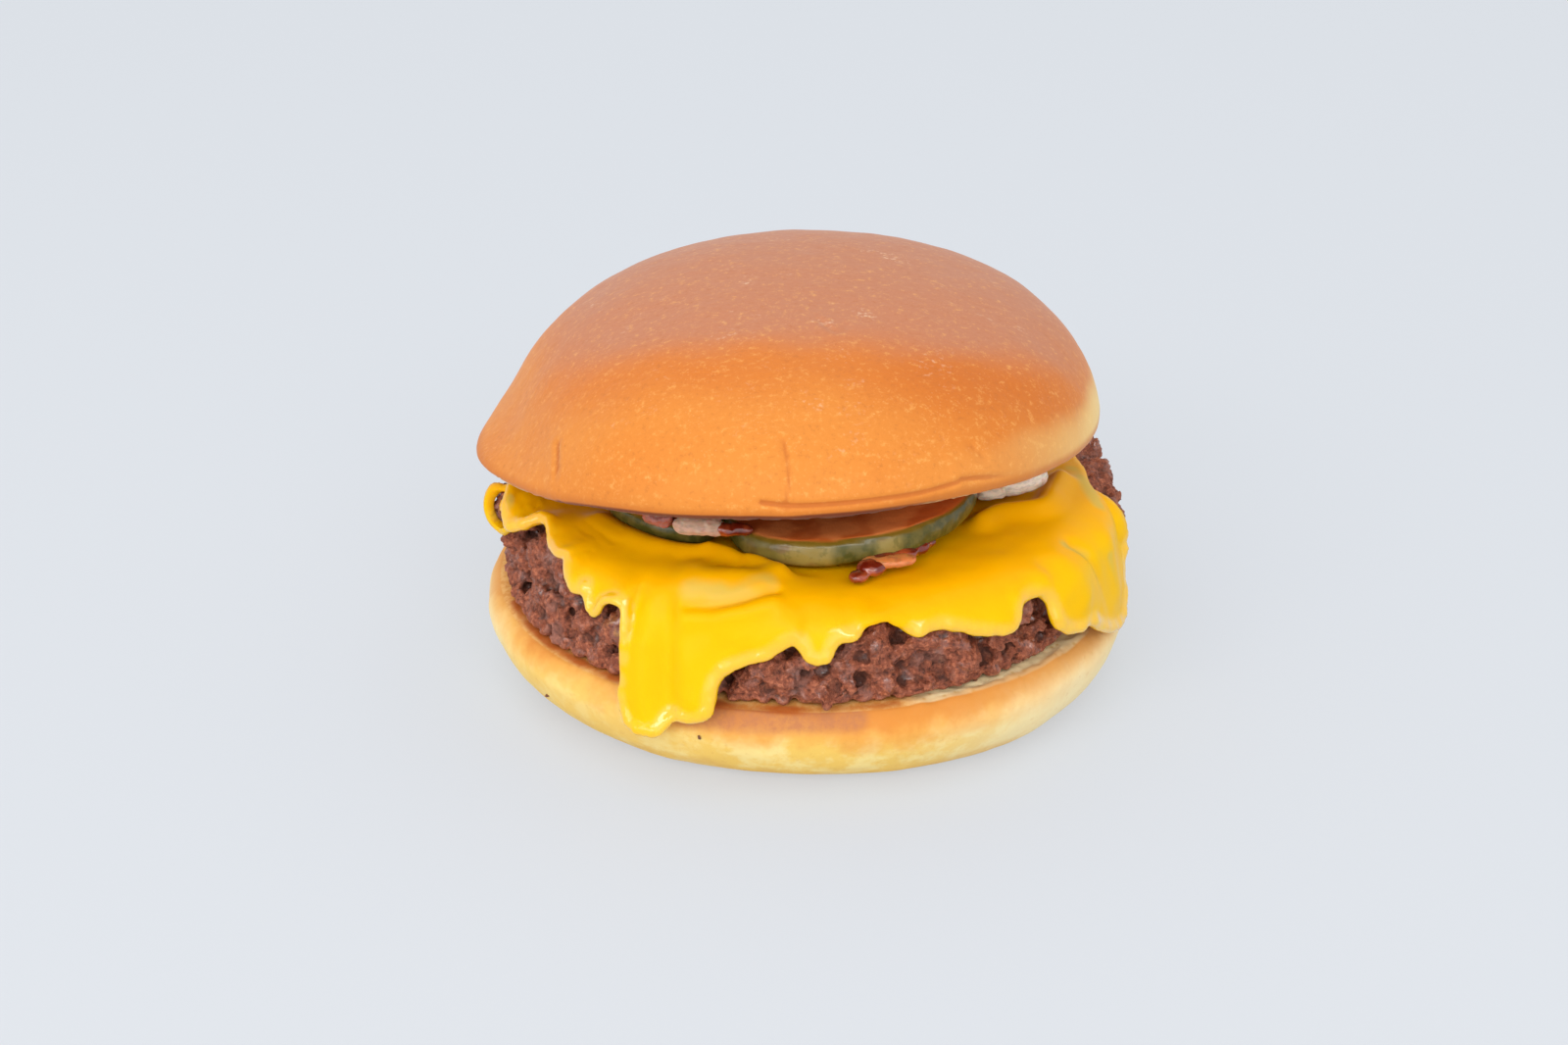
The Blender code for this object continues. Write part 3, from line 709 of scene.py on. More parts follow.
def mince_lumps(look):
    """Centre, half width, stretch and turn of each lump on the patty's free side."""
    rng = random.Random(12)
    lumps = []
    for azimuth, radius, height, size in MINCE_MASSES:
        squash = Vector((rng.uniform(0.9, 1.1), rng.uniform(0.85, 1.15), rng.uniform(0.8, 1.0)))
        turn = Euler((rng.uniform(-0.4, 0.4), rng.uniform(-0.4, 0.4), math.radians(azimuth)))
        lumps.append((spot(azimuth, radius, height), size * MM, squash, turn))
    for i in range(FOOT_NUGGETS):
        azimuth = 184.0 + 142.0 * (i + 0.6 * rng.random()) / FOOT_NUGGETS
        size = rng.uniform(1.3, 2.3)
        reach = 49.4 if azimuth < 246.0 else 48.6
        place = spot(azimuth, reach - size, PATTY_LOW.z / MM + 0.8 * size)
        turn = Euler([rng.uniform(0, 6.3) for _ in range(3)])
        lumps.append((place, size * MM, Vector((1.0, 1.15, 0.9)), turn))
    patty = tree_of("beef_patty")
    cheese = tree_of("cheese_slice")
    for i in range(look.lumps):
        azimuth = 360.0 * (i + rng.random()) / look.lumps * 7.0 % 360.0
        level = rng.uniform(PATTY_LOW.z + 0.8 * MM, PATTY_HIGH.z - 0.5 * MM)
        out = direction(azimuth)
        start = AXIS + UP * level + out * 80 * MM
        place, normal, _, _ = patty.ray_cast(start, -out)
        size = look.lump * (0.50 + 0.95 * rng.random() ** 2)
        squash = Vector([rng.uniform(0.75, 1.2) for _ in range(3)])
        turn = Euler([rng.uniform(0, 6.3) for _ in range(3)])
        if place is None:
            continue
        lid = cheese.ray_cast(place + normal * 0.1 * MM, (normal + out * 0.5).normalized())[3]
        if lid is not None and lid < 6 * MM:
            continue
        centre = place - normal * size * rng.uniform(0.45, 0.85)
        centre.z = max(centre.z, PATTY_LOW.z + 0.72 * size)
        lumps.append((centre, size, squash, turn))
    return lumps


def make_patty(look):
    """Seared mince: lumps fused on a core, with crumbs and furrows."""
    core = copy_of("beef_patty", "patty", 2)
    skin = Skin(core)
    side = smoothstep(38, 46, skin.radius) * smoothstep(0.97, 0.6, np.abs(skin.normals[:, 2]))
    skin.points -= skin.normals * (2.2 * MM * side)[:, None]
    skin.settle()
    only(core)
    bpy.ops.mesh.primitive_ico_sphere_add(subdivisions=3, radius=1.0)
    nugget = bpy.context.object
    matrices = []
    for centre, size, squash, turn in mince_lumps(look):
        stretch = Matrix.Diagonal((*squash, 1.0))
        matrices.append(Matrix.Translation(centre) @ turn.to_matrix().to_4x4()
                        @ stretch @ Matrix.Scale(size, 4))
    lumps = copies(nugget, "lumps", matrices)
    bpy.data.objects.remove(nugget)
    only(core, lumps)
    bpy.ops.object.join()
    fuse(core, look.voxel, 1)
    thin_hidden(core)
    skin = Skin(core)
    side = smoothstep(0.0, 1.2, skin.height - PATTY_LOW.z / MM) * smoothstep(37, 42, skin.radius)
    deep = skin.hollows(8)
    clods = skin.lumps(3.6 * MM, 1)
    crumbs = skin.lumps(1.7 * MM, 4)
    grit = skin.lumps(0.95 * MM, 2)
    soft = skin.billow(1.3 * MM, 3)
    skin.push(side * MM * (0.50 * (clods - 0.8) + 0.36 * (crumbs - 0.7) + 0.26 * (grit - 0.6)
                           + 0.18 * soft))
    skin.points[:, 2] = np.maximum(skin.points[:, 2], PATTY_LOW.z - 0.1 * MM)
    skin.settle()
    deep = np.maximum(deep, skin.hollows(8))
    # painted shade in the hollows between the lumps
    skin.paint("furrow", smoothstep(0.05 * MM, 0.50 * MM, deep) * side)
    skin.paint("crest", smoothstep(-0.08 * MM, -0.42 * MM, deep))
    skin.paint("film", skin.nearness([spot(229.5, 49.5, 26.4), spot(233.5, 50.6, 25.8),
                                      spot(237.0, 51.0, 22.0)], 1.5 * MM))
    core.data.shade_smooth()
    dress(core, beef_finish(look))
    settle_in(core, "beef", "beef_patty")


def thin_hidden(obj):
    """Fewer faces on the patty's hidden middle."""
    group = obj.vertex_groups.new(name="hidden")
    skin = Skin(obj)
    hidden = np.nonzero(skin.radius < 38)[0].tolist()
    group.add(hidden, 1.0, "REPLACE")
    share = len(hidden) / len(skin.points)
    apply(obj, "DECIMATE", ratio=1.0 - 0.92 * share, vertex_group="hidden", vertex_group_factor=1.0)
    obj.vertex_groups.clear()


def beef_finish(look):
    """Seared mince: red brown crumbs, grey film of fat, seared spots, painted shade in the furrows, wet
    glints.
    """
    finish = Finish("beef", Roughness=0.5, Specular_IOR_Level=0.3, Coat_Roughness=0.14,
                    Coat_IOR=1.8)
    patch = finish.grain(6 * MM, 3.0, 0.6)
    bits = finish.grain(0.8 * MM, 4.0, 0.75)
    crumb = finish.cells(1.2 * MM)
    meat = finish.mix(look.meat, (0.50, 0.158, 0.078), bits.step(0.50, 0.64))
    meat = finish.mix(meat, (0.10, 0.028, 0.016), bits.step(0.47, 0.35) * 0.9)
    meat = finish.mix(meat, look.glaze, patch.step(0.52, 0.62) * (0.15 + 0.5 * bits))
    meat = finish.mix(meat, look.char, finish.grain(4.5 * MM, 3.0, 0.6).step(0.58, 0.72) * 0.7)
    meat = finish.mix(meat, (0.50, 0.19, 0.10), finish.painted("crest") * 0.35)
    # painted shade in the furrows
    meat = finish.mix(meat, look.char, finish.painted("furrow") * 0.85)
    film = finish.painted("film")
    meat = finish.mix(meat, (0.55, 0.27, 0.05), film * finish.grain(1.6 * MM, 2.0).step(0.42, 0.58))
    wet = finish.grain(2.6 * MM, 2.0).step(0.52, 0.64)
    relief = bits * 0.9 + crumb * 0.6 + finish.grain(0.45 * MM, 2.0) * 0.45
    return finish.look(
        Base_Color=meat,
        Roughness=0.62 - 0.26 * wet,
        Coat_Weight=wet * 0.5 + film * 0.5,
        Normal=finish.bump(relief, 0.5 * MM, 0.9))


# ------------------------------------------------------------------ cheese
# the slice's hem from the left round the front to the right: azimuth and height in mm
CHEESE_HEM = (
    (166.0, 31.2), (190.0, 31.2), (194.0, 30.8), (197.0, 30.4), (200.0, 30.6), (203.0, 31.2),
    (207.0, 31.6), (212.0, 31.2), (217.5, 31.0), (220.0, 30.6), (222.0, 30.2), (225.0, 29.2),
    (227.0, 27.8), (230.0, 27.0), (232.0, 27.6), (234.0, 29.0), (236.0, 29.2), (237.8, 27.0),
    (238.3, 14.4), (239.4, 12.0), (241.0, 10.6), (244.8, 10.5), (246.4, 12.0), (247.8, 13.6),
    (251.2, 13.6), (253.6, 15.0), (254.2, 18.6), (255.8, 21.4), (258.4, 23.0), (263.0, 24.6),
    (265.0, 26.0), (266.8, 27.2), (268.6, 27.0), (270.0, 24.9), (271.6, 24.0), (273.2, 24.6),
    (275.0, 27.2), (278.4, 27.8), (280.4, 29.8), (283.4, 29.6), (288.0, 27.0), (292.7, 27.3),
    (296.5, 26.5), (302.0, 25.0), (306.6, 24.6), (308.6, 27.0), (311.5, 28.0), (315.4, 27.0),
    (317.0, 22.4), (319.4, 20.4), (322.4, 19.6), (326.0, 19.4), (330.0, 16.6), (335.0, 14.2),
    (341.0, 13.0), (345.0, 15.4), (347.4, 20.0), (349.4, 24.5), (351.4, 28.0), (354.0, 30.2),
    (358.0, 31.0),
)
# the hem's rounded edge on the left, where the slice ends above the patty: azimuth, radius
# and height in mm
FLAP_HEM = (
    (184.0, 45.4, 32.2), (188.5, 46.4, 33.2), (192.5, 47.6, 34.0), (195.0, 49.0, 32.2), (198.6, 49.7, 29.6), (200.8, 49.2, 29.6),
    (203.6, 47.6, 31.2), (205.2, 45.8, 32.4), (207.3, 45.2, 32.3), (210.4, 46.0, 31.4),
    (212.8, 47.0, 30.5), (215.4, 47.4, 30.4), (217.4, 47.6, 30.6), (219.8, 47.4, 31.2),
    (221.0, 48.5, 29.6), (223.0, 49.4, 28.4), (225.0, 50.0, 27.5), (226.4, 50.0, 28.0),
    (227.2, 49.6, 29.0), (227.8, 50.0, 27.4), (228.6, 50.3, 25.7), (229.9, 50.5, 25.1),
    (231.2, 50.6, 26.2), (232.2, 50.6, 27.8), (234.2, 50.6, 28.9), (236.2, 50.7, 28.7),
    (237.4, 51.2, 27.0),
)
# the same, where the slice's short edge goes on to the back
FAR_HEM = (
    (146.0, 44.6, 32.2), (154.0, 45.0, 32.0), (162.0, 45.4, 31.8), (170.0, 45.6, 31.8),
    (178.0, 45.6, 32.0), (186.0, 45.8, 32.6),
)
# folds of the slice: points as azimuth, radius and height in mm, then height and width in mm
CHEESE_FOLDS = (
    (((244.6, 49.6, 30.6), (245.6, 51.4, 26.0), (246.0, 52.6, 20.0), (246.6, 53.8, 15.0)), -1.0, 2.0),
    (((241.4, 52.2, 24.0), (242.4, 53.4, 18.0), (243.4, 54.2, 13.0)), 0.7, 3.0),
    (((249.8, 51.8, 23.0), (251.2, 53.0, 17.0)), 0.6, 2.8),
    (((247.0, 47.0, 32.4), (246.4, 42.5, 33.6), (247.4, 38.2, 34.0)), 0.8, 2.4),
    (((246.5, 36.0, 33.8), (252.0, 36.2, 34.0), (256.2, 37.2, 34.0), (260.4, 39.0, 34.0),
      (264.4, 41.4, 34.0)), 1.5, 1.7),
    (((248.8, 49.8, 31.4), (254.0, 49.2, 32.0), (258.0, 48.4, 32.8), (264.0, 46.4, 33.6)), -0.9, 0.8),
    (((249.0, 51.0, 29.8), (254.0, 50.6, 30.6), (258.5, 49.8, 31.4), (264.0, 48.4, 32.4)), 0.8, 1.6),
    (((251.0, 45.0, 33.4), (256.0, 43.6, 33.8), (261.0, 43.8, 33.8)), 0.9, 2.8),
    (((213.0, 38.4, 33.6), (224.0, 38.2, 33.6), (234.0, 38.0, 33.6), (244.0, 37.2, 33.8)), 1.4, 2.2),
    (((320.5, 35.4, 33.4), (326.5, 36.0, 33.4), (331.0, 38.6, 33.4), (335.4, 41.2, 33.4),
      (343.0, 41.2, 33.2), (350.0, 41.4, 33.2)), 2.3, 2.0),
    (((327.7, 49.0, 31.8), (330.0, 52.2, 28.6), (333.8, 55.0, 18.8)), -0.9, 1.1),
    (((322.0, 50.0, 31.0), (324.0, 53.0, 25.0)), 0.8, 2.6),
    (((337.0, 51.5, 29.0), (339.0, 54.0, 20.0)), 0.8, 2.4),
    (((314.7, 50.4, 30.6), (319.0, 52.2, 28.0)), 0.5, 2.0),
)
# thin and dull patches, partly a painted reflection of the pale surroundings: points as above, then width
# in mm
CHEESE_MILKY = (
    (((248.6, 47.4, 32.6), (252.5, 47.6, 32.8), (257.5, 46.6, 33.2), (262.0, 45.2, 33.8)), 2.4),
    (((357.5, 43.2, 34.0), (352.5, 45.2, 33.5), (347.0, 46.8, 33.0), (344.0, 48.2, 32.2)), 1.9),
    (((326.0, 48.5, 32.0), (329.5, 51.5, 29.5)), 1.4),
    (((336.0, 52.8, 27.0), (338.0, 54.4, 21.0), (339.0, 55.0, 15.0)), 1.3),
    (((187.0, 50.9, 30.8), (187.0, 51.2, 28.4), (189.0, 50.8, 26.6)), 1.5),
    (((196.0, 48.8, 33.6), (198.0, 49.3, 31.4), (200.0, 49.7, 29.4)), 0.9),
)
HEM_CEILING = 32.6                   # in mm; the slice above it does not move with its hem


def hem_heights(skin):
    """Height of the slice's hem at each point's azimuth, in millimetres."""
    sector = (skin.azimuth // 1.5).astype(int)
    lowest = np.array([skin.height[sector == i].min() for i in range(240)])
    places = (np.arange(-1, 241) + 0.5) * 1.5
    return np.interp(skin.azimuth, places, [lowest[-1], *lowest, lowest[0]])


def tube(name, route, widths):
    """A round strand along a route; widths are its half widths in metres."""
    curve = bpy.data.curves.new(name, "CURVE")
    curve.dimensions = "3D"
    curve.bevel_depth = 1.0
    curve.bevel_resolution = 3
    curve.use_fill_caps = True
    spline = curve.splines.new("POLY")
    spline.points.add(len(route) - 1)
    for point, corner, width in zip(spline.points, route, widths):
        point.co = (*corner, 1.0)
        point.radius = width
    strand = bpy.data.objects.new(name, curve)
    bpy.context.scene.collection.objects.link(strand)
    only(strand)
    bpy.ops.object.convert(target="MESH")
    return strand


def cheese_strand():
    """The loose loop of cheese that hangs off the slice's left edge."""
    route = rounded([spot(192.0, 48.0, 33.2), spot(189.0, 49.6, 32.4), spot(187.4, 50.0, 30.8),
                     spot(187.2, 50.5, 28.8), spot(188.6, 50.2, 27.0), spot(192.0, 49.7, 26.3),
                     spot(196.0, 49.6, 27.8), spot(199.0, 49.3, 29.6)])
    count = len(route) - 1
    widths = [(0.70 + 0.40 * math.sin(math.pi * i / count) ** 2) * MM for i in range(count + 1)]
    return tube("strand", route, widths)


def flap_sheet(rows=8):
    """Strands side by side that close the slice between its flat and the flap's hem."""
    strands = []
    for row in range(rows):
        turn = 0.5 * math.pi * row / (rows - 1)
        route = []
        for azimuth, radius, height in FLAP_HEM:
            if azimuth > 225.0:
                continue
            low = height + 0.7
            route.append(spot(azimuth, 40.0 + (radius - 40.0) * math.cos(turn),
                              low + (32.2 - low) * math.sin(turn)))
        route = rounded(route, 3)
        strands.append(tube("flap", route, [1.0 * MM] * len(route)))
    return strands


def hem_route(skin):
    """The middle of the rounded hem, from the flap on the left to the right-hand corner."""
    route = [spot(azimuth, radius, height + 0.7) for azimuth, radius, height in FLAP_HEM]
    for azimuth, height in CHEESE_HEM:
        if azimuth < 238.0:
            continue
        near = (np.abs(skin.azimuth - azimuth) < 1.3) & (np.abs(skin.height - height - 0.8) < 1.1)
        radius = skin.radius[near].mean() if near.any() else 51.3 + 0.27 * (26.5 - height)
        route.append(spot(azimuth, radius + 0.25, height + 0.85))
    return rounded(route, 4)


def cut_hem(skin):
    """Move the front of the hem to its drips and notches."""
    azimuth, height = np.array(CHEESE_HEM).T
    hem = hem_heights(skin)
    wanted = np.interp(skin.azimuth, azimuth, height)
    inside = (smoothstep(azimuth[0] - 6.0, azimuth[0], skin.azimuth)
              * smoothstep(azimuth[-1] + 5.0, azimuth[-1], skin.azimuth))
    share = np.clip((HEM_CEILING - skin.height) / np.maximum(HEM_CEILING - hem, 2.5), 0.0, 1.0)
    move = (wanted - hem) * share * inside
    loose = np.maximum(skin.radius - 46.0, 0.0) * skin.near_azimuth(178, 12)
    loose += (0.25 * np.maximum(skin.radius - 47.0, 0.0) * skin.near_azimuth(346, 18)
              * smoothstep(32.0, 26.0, skin.height))
    skin.points[:, 2] += move * MM
    away = skin.points - np.array(AXIS)
    away[:, 2] = 0.0
    away /= np.maximum(np.linalg.norm(away, axis=1), 1e-9)[:, None]
    lean = smoothstep(30.0, 26.0, skin.height)
    skin.points -= away * ((0.2 * move * lean + loose) * MM)[:, None]


def make_cheese(look, beef):
    """Melted slice: folds, drips and a rounded hem over the lumps below."""
    slice_ = copy_of("cheese_slice", "cheese", 2)
    apply(slice_, "REMESH", mode="VOXEL", voxel_size=0.5 * MM, use_smooth_shade=True)
    skin = Skin(slice_)
    cut_hem(skin)
    skin.settle()
    route = hem_route(skin)
    rng = random.Random(8)
    slim = 4 * len(FLAP_HEM)
    widths = [look.bead * (0.9 + 0.35 * rng.random() ** 2) * (0.7 if 32 < i < slim else 1.0)
              for i in range(len(route))]
    edge = rounded([spot(*corner) for corner in FAR_HEM], 3)
    only(slice_, cheese_strand(), *flap_sheet(), tube("hem", route, widths),
         tube("edge", edge, [1.3 * MM] * len(edge)))
    bpy.ops.object.join()
    fuse(slice_, look.voxel, 3)
    skin = Skin(slice_)
    out = outward(skin)
    outer = smoothstep(-0.1, 0.25, skin.normals[:, 2] * 0.6 + out * 0.8)
    relief = np.zeros(len(skin.points))
    for path, rise, width in CHEESE_FOLDS:
        relief += rise * MM * skin.nearness([spot(*corner) for corner in path], width * MM)
    relief += 0.22 * MM * skin.billow(7 * MM, 3) + 0.07 * MM * skin.billow(2.8 * MM, 4)
    hem = skin.near_route(route, 1.8 * MM)
    relief += look.scallop * hem * skin.billow(2.2 * MM, 1)
    skin.push(relief * outer)
    skin.settle()
    lie_over(skin, mince_lumps(beef), outer)
    skin.settle()
    apply(slice_, "SMOOTH", factor=0.5, iterations=2)
    skin = Skin(slice_)
    milky = np.zeros(len(skin.points))
    for path, width in CHEESE_MILKY:
        milky = np.maximum(milky, skin.nearness([spot(*corner) for corner in path], width * MM))
    # thin patches that also carry a painted reflection
    skin.paint("milky", milky * np.clip(1.0 + 0.6 * skin.billow(3.4 * MM, 9), 0.5, 1.0))
    skin.paint("bead", skin.near_route(route, 1.7 * MM) * smoothstep(-0.2, 0.2, outward(skin)))
    # painted shade: the slice turns deeper orange higher up, under the crown
    skin.paint("deep", smoothstep(27.5, 33.0, skin.height + 1.6 * skin.billow(9 * MM, 5)))
    dress(slice_, cheese_finish(look))
    settle_in(slice_, "cheese", "cheese_slice")


def outward(skin):
    """How far each normal points away from the burger's axis."""
    flat = skin.points - np.array(AXIS)
    flat[:, 2] = 0.0
    flat /= np.maximum(np.linalg.norm(flat, axis=1), 1e-9)[:, None]
    return np.einsum("ij,ij->i", flat, skin.normals)


def lie_over(skin, lumps, outer):
    """Push the slice off the lumps of mince under it."""
    for centre, size, _, _ in lumps:
        offset = skin.points - np.array(centre)
        gap = np.linalg.norm(offset, axis=1)
        wanted = size * 0.98 + 1.7 * MM * outer
        inside = gap < wanted
        share = (wanted[inside] - gap[inside]) / np.maximum(gap[inside], 1e-6)
        skin.points[inside] += offset[inside] * share[:, None] * 0.8


def cheese_finish(look):
    """Glossy melted cheese, deeper on top as painted shade under the crown, wet along the hem, and milky
    where it is thin, with a painted reflection there.
    """
    finish = Finish("cheese", Roughness=0.3, Specular_IOR_Level=0.08, Coat_Roughness=0.10)
    finish.shader.inputs["Coat IOR"].default_value = 1.8
    finish.shader.inputs["Subsurface Weight"].default_value = 0.2
    finish.shader.inputs["Subsurface Radius"].default_value = (1.0, 0.5, 0.08)
    finish.shader.inputs["Subsurface Scale"].default_value = 1.6 * MM
    cloud = finish.grain(8 * MM, 3.0, 0.5)
    base = finish.mix(look.cheese, (0.86, 0.46, 0.001), cloud.step(0.45, 0.65) * 0.4)
    # painted shade under the crown
    base = finish.mix(base, look.deep, finish.painted("deep") * 0.95)
    # thin cheese and painted reflection
    base = finish.mix(base, look.milky, finish.painted("milky").step(0.25, 0.95) * 0.75)
    base = finish.mix(base, (0.88, 0.53, 0.0), finish.painted("bead") * 0.4)
    relief = finish.grain(2.4 * MM, 2.0) + finish.grain(0.7 * MM, 2.0) * 0.12
    relief = relief + finish.grain(1.0 * MM, 2.0) * finish.painted("bead") * 0.9
    return finish.look(
        Base_Color=base,
        Roughness=0.28 + 0.12 * finish.grain(5 * MM, 2.0) + 0.15 * finish.painted("milky"),
        Coat_Weight=0.9 * finish.painted("bead").step(0.2, 0.75),
        Normal=finish.bump(relief, 0.10 * MM, 0.5))


# ------------------------------------------------------------------ pickles
# how much flesh shows on each slice's side, by azimuth about its middle
PICKLE_FLESH = {
    "pickle_front_slice": ((0, 205, 222, 231, 236, 257, 262, 281, 285, 295, 299, 360),
                           (0, 0, 0.4, 0.35, 0.9, 0.9, 0.1, 0.1, 1.0, 1.0, 0.1, 0)),
    "pickle_left_slice": ((0, 360), (0, 0)),
}


def make_pickle(look, node, name, seed):
    """A slice of pickle with ridged skin, soft, seedy flesh and ketchup on top."""
    pickle = copy_of(node, name, 3)
    skin = Skin(pickle)
    low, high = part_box(node)
    side = smoothstep(0.85, 0.4, np.abs(skin.normals[:, 2]))
    relief = 0.22 * skin.billow(3.4 * MM, seed) + 0.10 * skin.billow(1.4 * MM, seed + 1)
    skin.push(MM * relief * (0.35 + 0.65 * side))
    sauce = smoothstep(0.86, 0.97, skin.normals[:, 2] + 0.03 * skin.billow(5 * MM, seed + 5))
    skin.points[:, 2] += sauce * MM * (0.15 + 0.12 * skin.billow(4 * MM, seed + 6))
    skin.settle()
    middle = (low + high) / 2.0
    turned = np.degrees(np.arctan2(*(skin.points - np.array(middle))[:, 1::-1].T)) % 360.0
    skin.paint("flesh", np.interp(turned, *PICKLE_FLESH[name]) * side)
    skin.paint("sauce", sauce)
    skin.paint("brink", smoothstep(0.45, 0.80, skin.normals[:, 2]))
    seeds = skin.billow(2.2 * MM, seed + 2) + 0.4 * np.exp(-((turned - 228.0) / 6.0) ** 2)
    seeds += 0.3 * np.exp(-((turned - 276.0) / 5.0) ** 2)
    skin.paint("seed", smoothstep(0.15, 0.5, seeds) * side)
    dress(pickle, pickle_finish(look, name))
    settle_in(pickle, "pickle", node)


def pickle_finish(look, name):
    """Wet pickle: dark green skin, olive flesh, brown seeds, brown ketchup film."""
    finish = Finish(name.replace("_", " "), Roughness=0.3, Specular_IOR_Level=0.3,
                    Coat_Roughness=0.06)
    flesh = finish.painted("flesh")
    sauce = finish.painted("sauce")
    fibre = finish.grain(1.6 * MM, 3.0, 0.6)
    skin = finish.mix(look.skin, (0.13, 0.105, 0.018), fibre.step(0.4, 0.65))
    inner = finish.mix(look.flesh, (0.17, 0.13, 0.02), fibre.step(0.48, 0.68) * 0.8)
    inner = finish.mix(inner, (0.16, 0.055, 0.02), finish.painted("seed") * 0.6)
    base = finish.mix(skin, inner, flesh)
    base = finish.mix(base, (0.24, 0.13, 0.008), finish.painted("brink") * 0.75)
    film = finish.mix((0.60, 0.125, 0.022), (0.78, 0.23, 0.06), finish.grain(7 * MM, 2.0).step(0.45, 0.6))
    base = finish.mix(base, film, sauce)
    return finish.look(
        Base_Color=base,
        Roughness=0.24 + 0.2 * fibre,
        Coat_Weight=0.4 * finish.grain(4 * MM, 2.0).step(0.35, 0.6) + 0.35 * sauce,
        Normal=finish.bump(fibre, 0.18 * MM, 0.7))


# ------------------------------------------------------------------ onion and ketchup
def make_relish(look):
    """Ketchup round the middle of the burger; the chopped onion in it comes from make_onions."""
    sauce = copy_of("onion_relish", "ketchup_core", 0)
    skin = Skin(sauce)
    skin.points -= (skin.points - np.array(AXIS)) * np.array((0.03, 0.03, 0.0))
    skin.settle()
    fuse(sauce, 0.6 * MM, 6)
    skin = Skin(sauce)
    skin.push(MM * (0.30 * skin.billow(4 * MM, 2) + 0.12 * skin.billow(1.8 * MM, 3) - 0.25))
    skin.settle()
    dress(sauce, ketchup_finish(look))
    settle_in(sauce, "relish", "onion_relish")


# drops of ketchup: azimuth, radius and height of the middle, then half length, width, height, in mm
KETCHUP_DROPS = (
    (280.2, 43.4, 34.3, 1.6, 1.3, 0.9),
    (283.4, 41.8, 34.8, 2.4, 1.8, 1.3),
    (287.0, 40.6, 35.1, 2.8, 2.0, 1.3),
    (291.0, 39.8, 35.3, 2.8, 1.9, 1.3),
    (295.2, 39.0, 35.5, 2.4, 1.6, 1.2),
    (298.2, 38.4, 35.6, 1.6, 1.2, 0.9),
    (250.0, 36.4, 38.0, 2.2, 1.2, 1.1),
    (253.5, 36.0, 38.2, 2.2, 1.1, 1.0),
)


def make_ketchup(look):
    """Ketchup that oozes out under the pickle and between the onion pieces."""
    bpy.ops.mesh.primitive_ico_sphere_add(subdivisions=4, radius=1.0)
    drop = bpy.context.object
    matrices = []
    for azimuth, radius, height, length, width, rise in KETCHUP_DROPS:
        turn = Matrix.Rotation(math.radians(azimuth + 90.0), 4, "Z")
        scale = Matrix.Diagonal((length * MM, width * MM, rise * MM, 1.0))
        matrices.append(Matrix.Translation(spot(azimuth, radius, height)) @ turn @ scale)
    drops = copies(drop, "ketchup_drops", matrices)
    bpy.data.objects.remove(drop)
    fuse(drops, 0.22 * MM, 3)
    skin = Skin(drops)
    skin.push(MM * (0.16 * skin.billow(1.8 * MM, 5) + 0.08 * skin.billow(0.8 * MM, 6)))
    skin.settle()
    dress(drops, ketchup_finish(look))
    settle_in(drops, "relish")


def ketchup_finish(look):
    """Wet ketchup."""
    finish = Finish("ketchup", Roughness=0.2, Specular_IOR_Level=0.3, Coat_Roughness=0.06,
                    Coat_IOR=1.8)
    body = finish.grain(3 * MM, 3.0, 0.6)
    base = finish.mix(look.ketchup, (0.38, 0.06, 0.016), body.step(0.42, 0.66))
    base = finish.mix(base, (0.07, 0.008, 0.004), finish.grain(1.2 * MM, 2.0).step(0.45, 0.3) * 0.5)
    return finish.look(
        Base_Color=base,
        Coat_Weight=0.3 + 0.5 * body,
        Normal=finish.bump(body, 0.25 * MM, 0.6))


def onion_block():
    """One chopped piece of onion: a bent slab with soft corners."""
    bpy.ops.mesh.primitive_cube_add(size=1.0)
    block = bpy.context.object
    bpy.ops.object.mode_set(mode="EDIT")
    bpy.ops.mesh.subdivide(number_cuts=3)
    bpy.ops.object.mode_set(mode="OBJECT")
    for vert in block.data.vertices:
        vert.co.z += 0.30 * (1.0 - 4.0 * vert.co.x ** 2) - 0.2
        vert.co += 0.12 * noise.noise_vector(vert.co * 2.3)
    apply(block, "SUBSURF", levels=1, render_levels=1)
    bpy.ops.object.shade_smooth()
    return block


# how far a piece has slid from its packed place, in mm
ONION_MOVES = {
    "onion_front": (0.0, 2.6, 1.2),
    "onion_right": (-0.8, 1.6, 0.9),
    "onion_right_small": (-0.6, 5.0, 1.2),
}
ONION_RAGGED = {"onion_left_pink": 1.0, "onion_left": 0.7}
ONION_TINTS = {
    "onion_left": (0.66, 0.42, 0.29),
    "onion_left_pink": (0.45, 0.15, 0.11),
    "onion_front": (0.68, 0.22, 0.06),
    "onion_right": (0.97, 0.85, 0.70),
    "onion_right_small": (0.93, 0.78, 0.60),
}


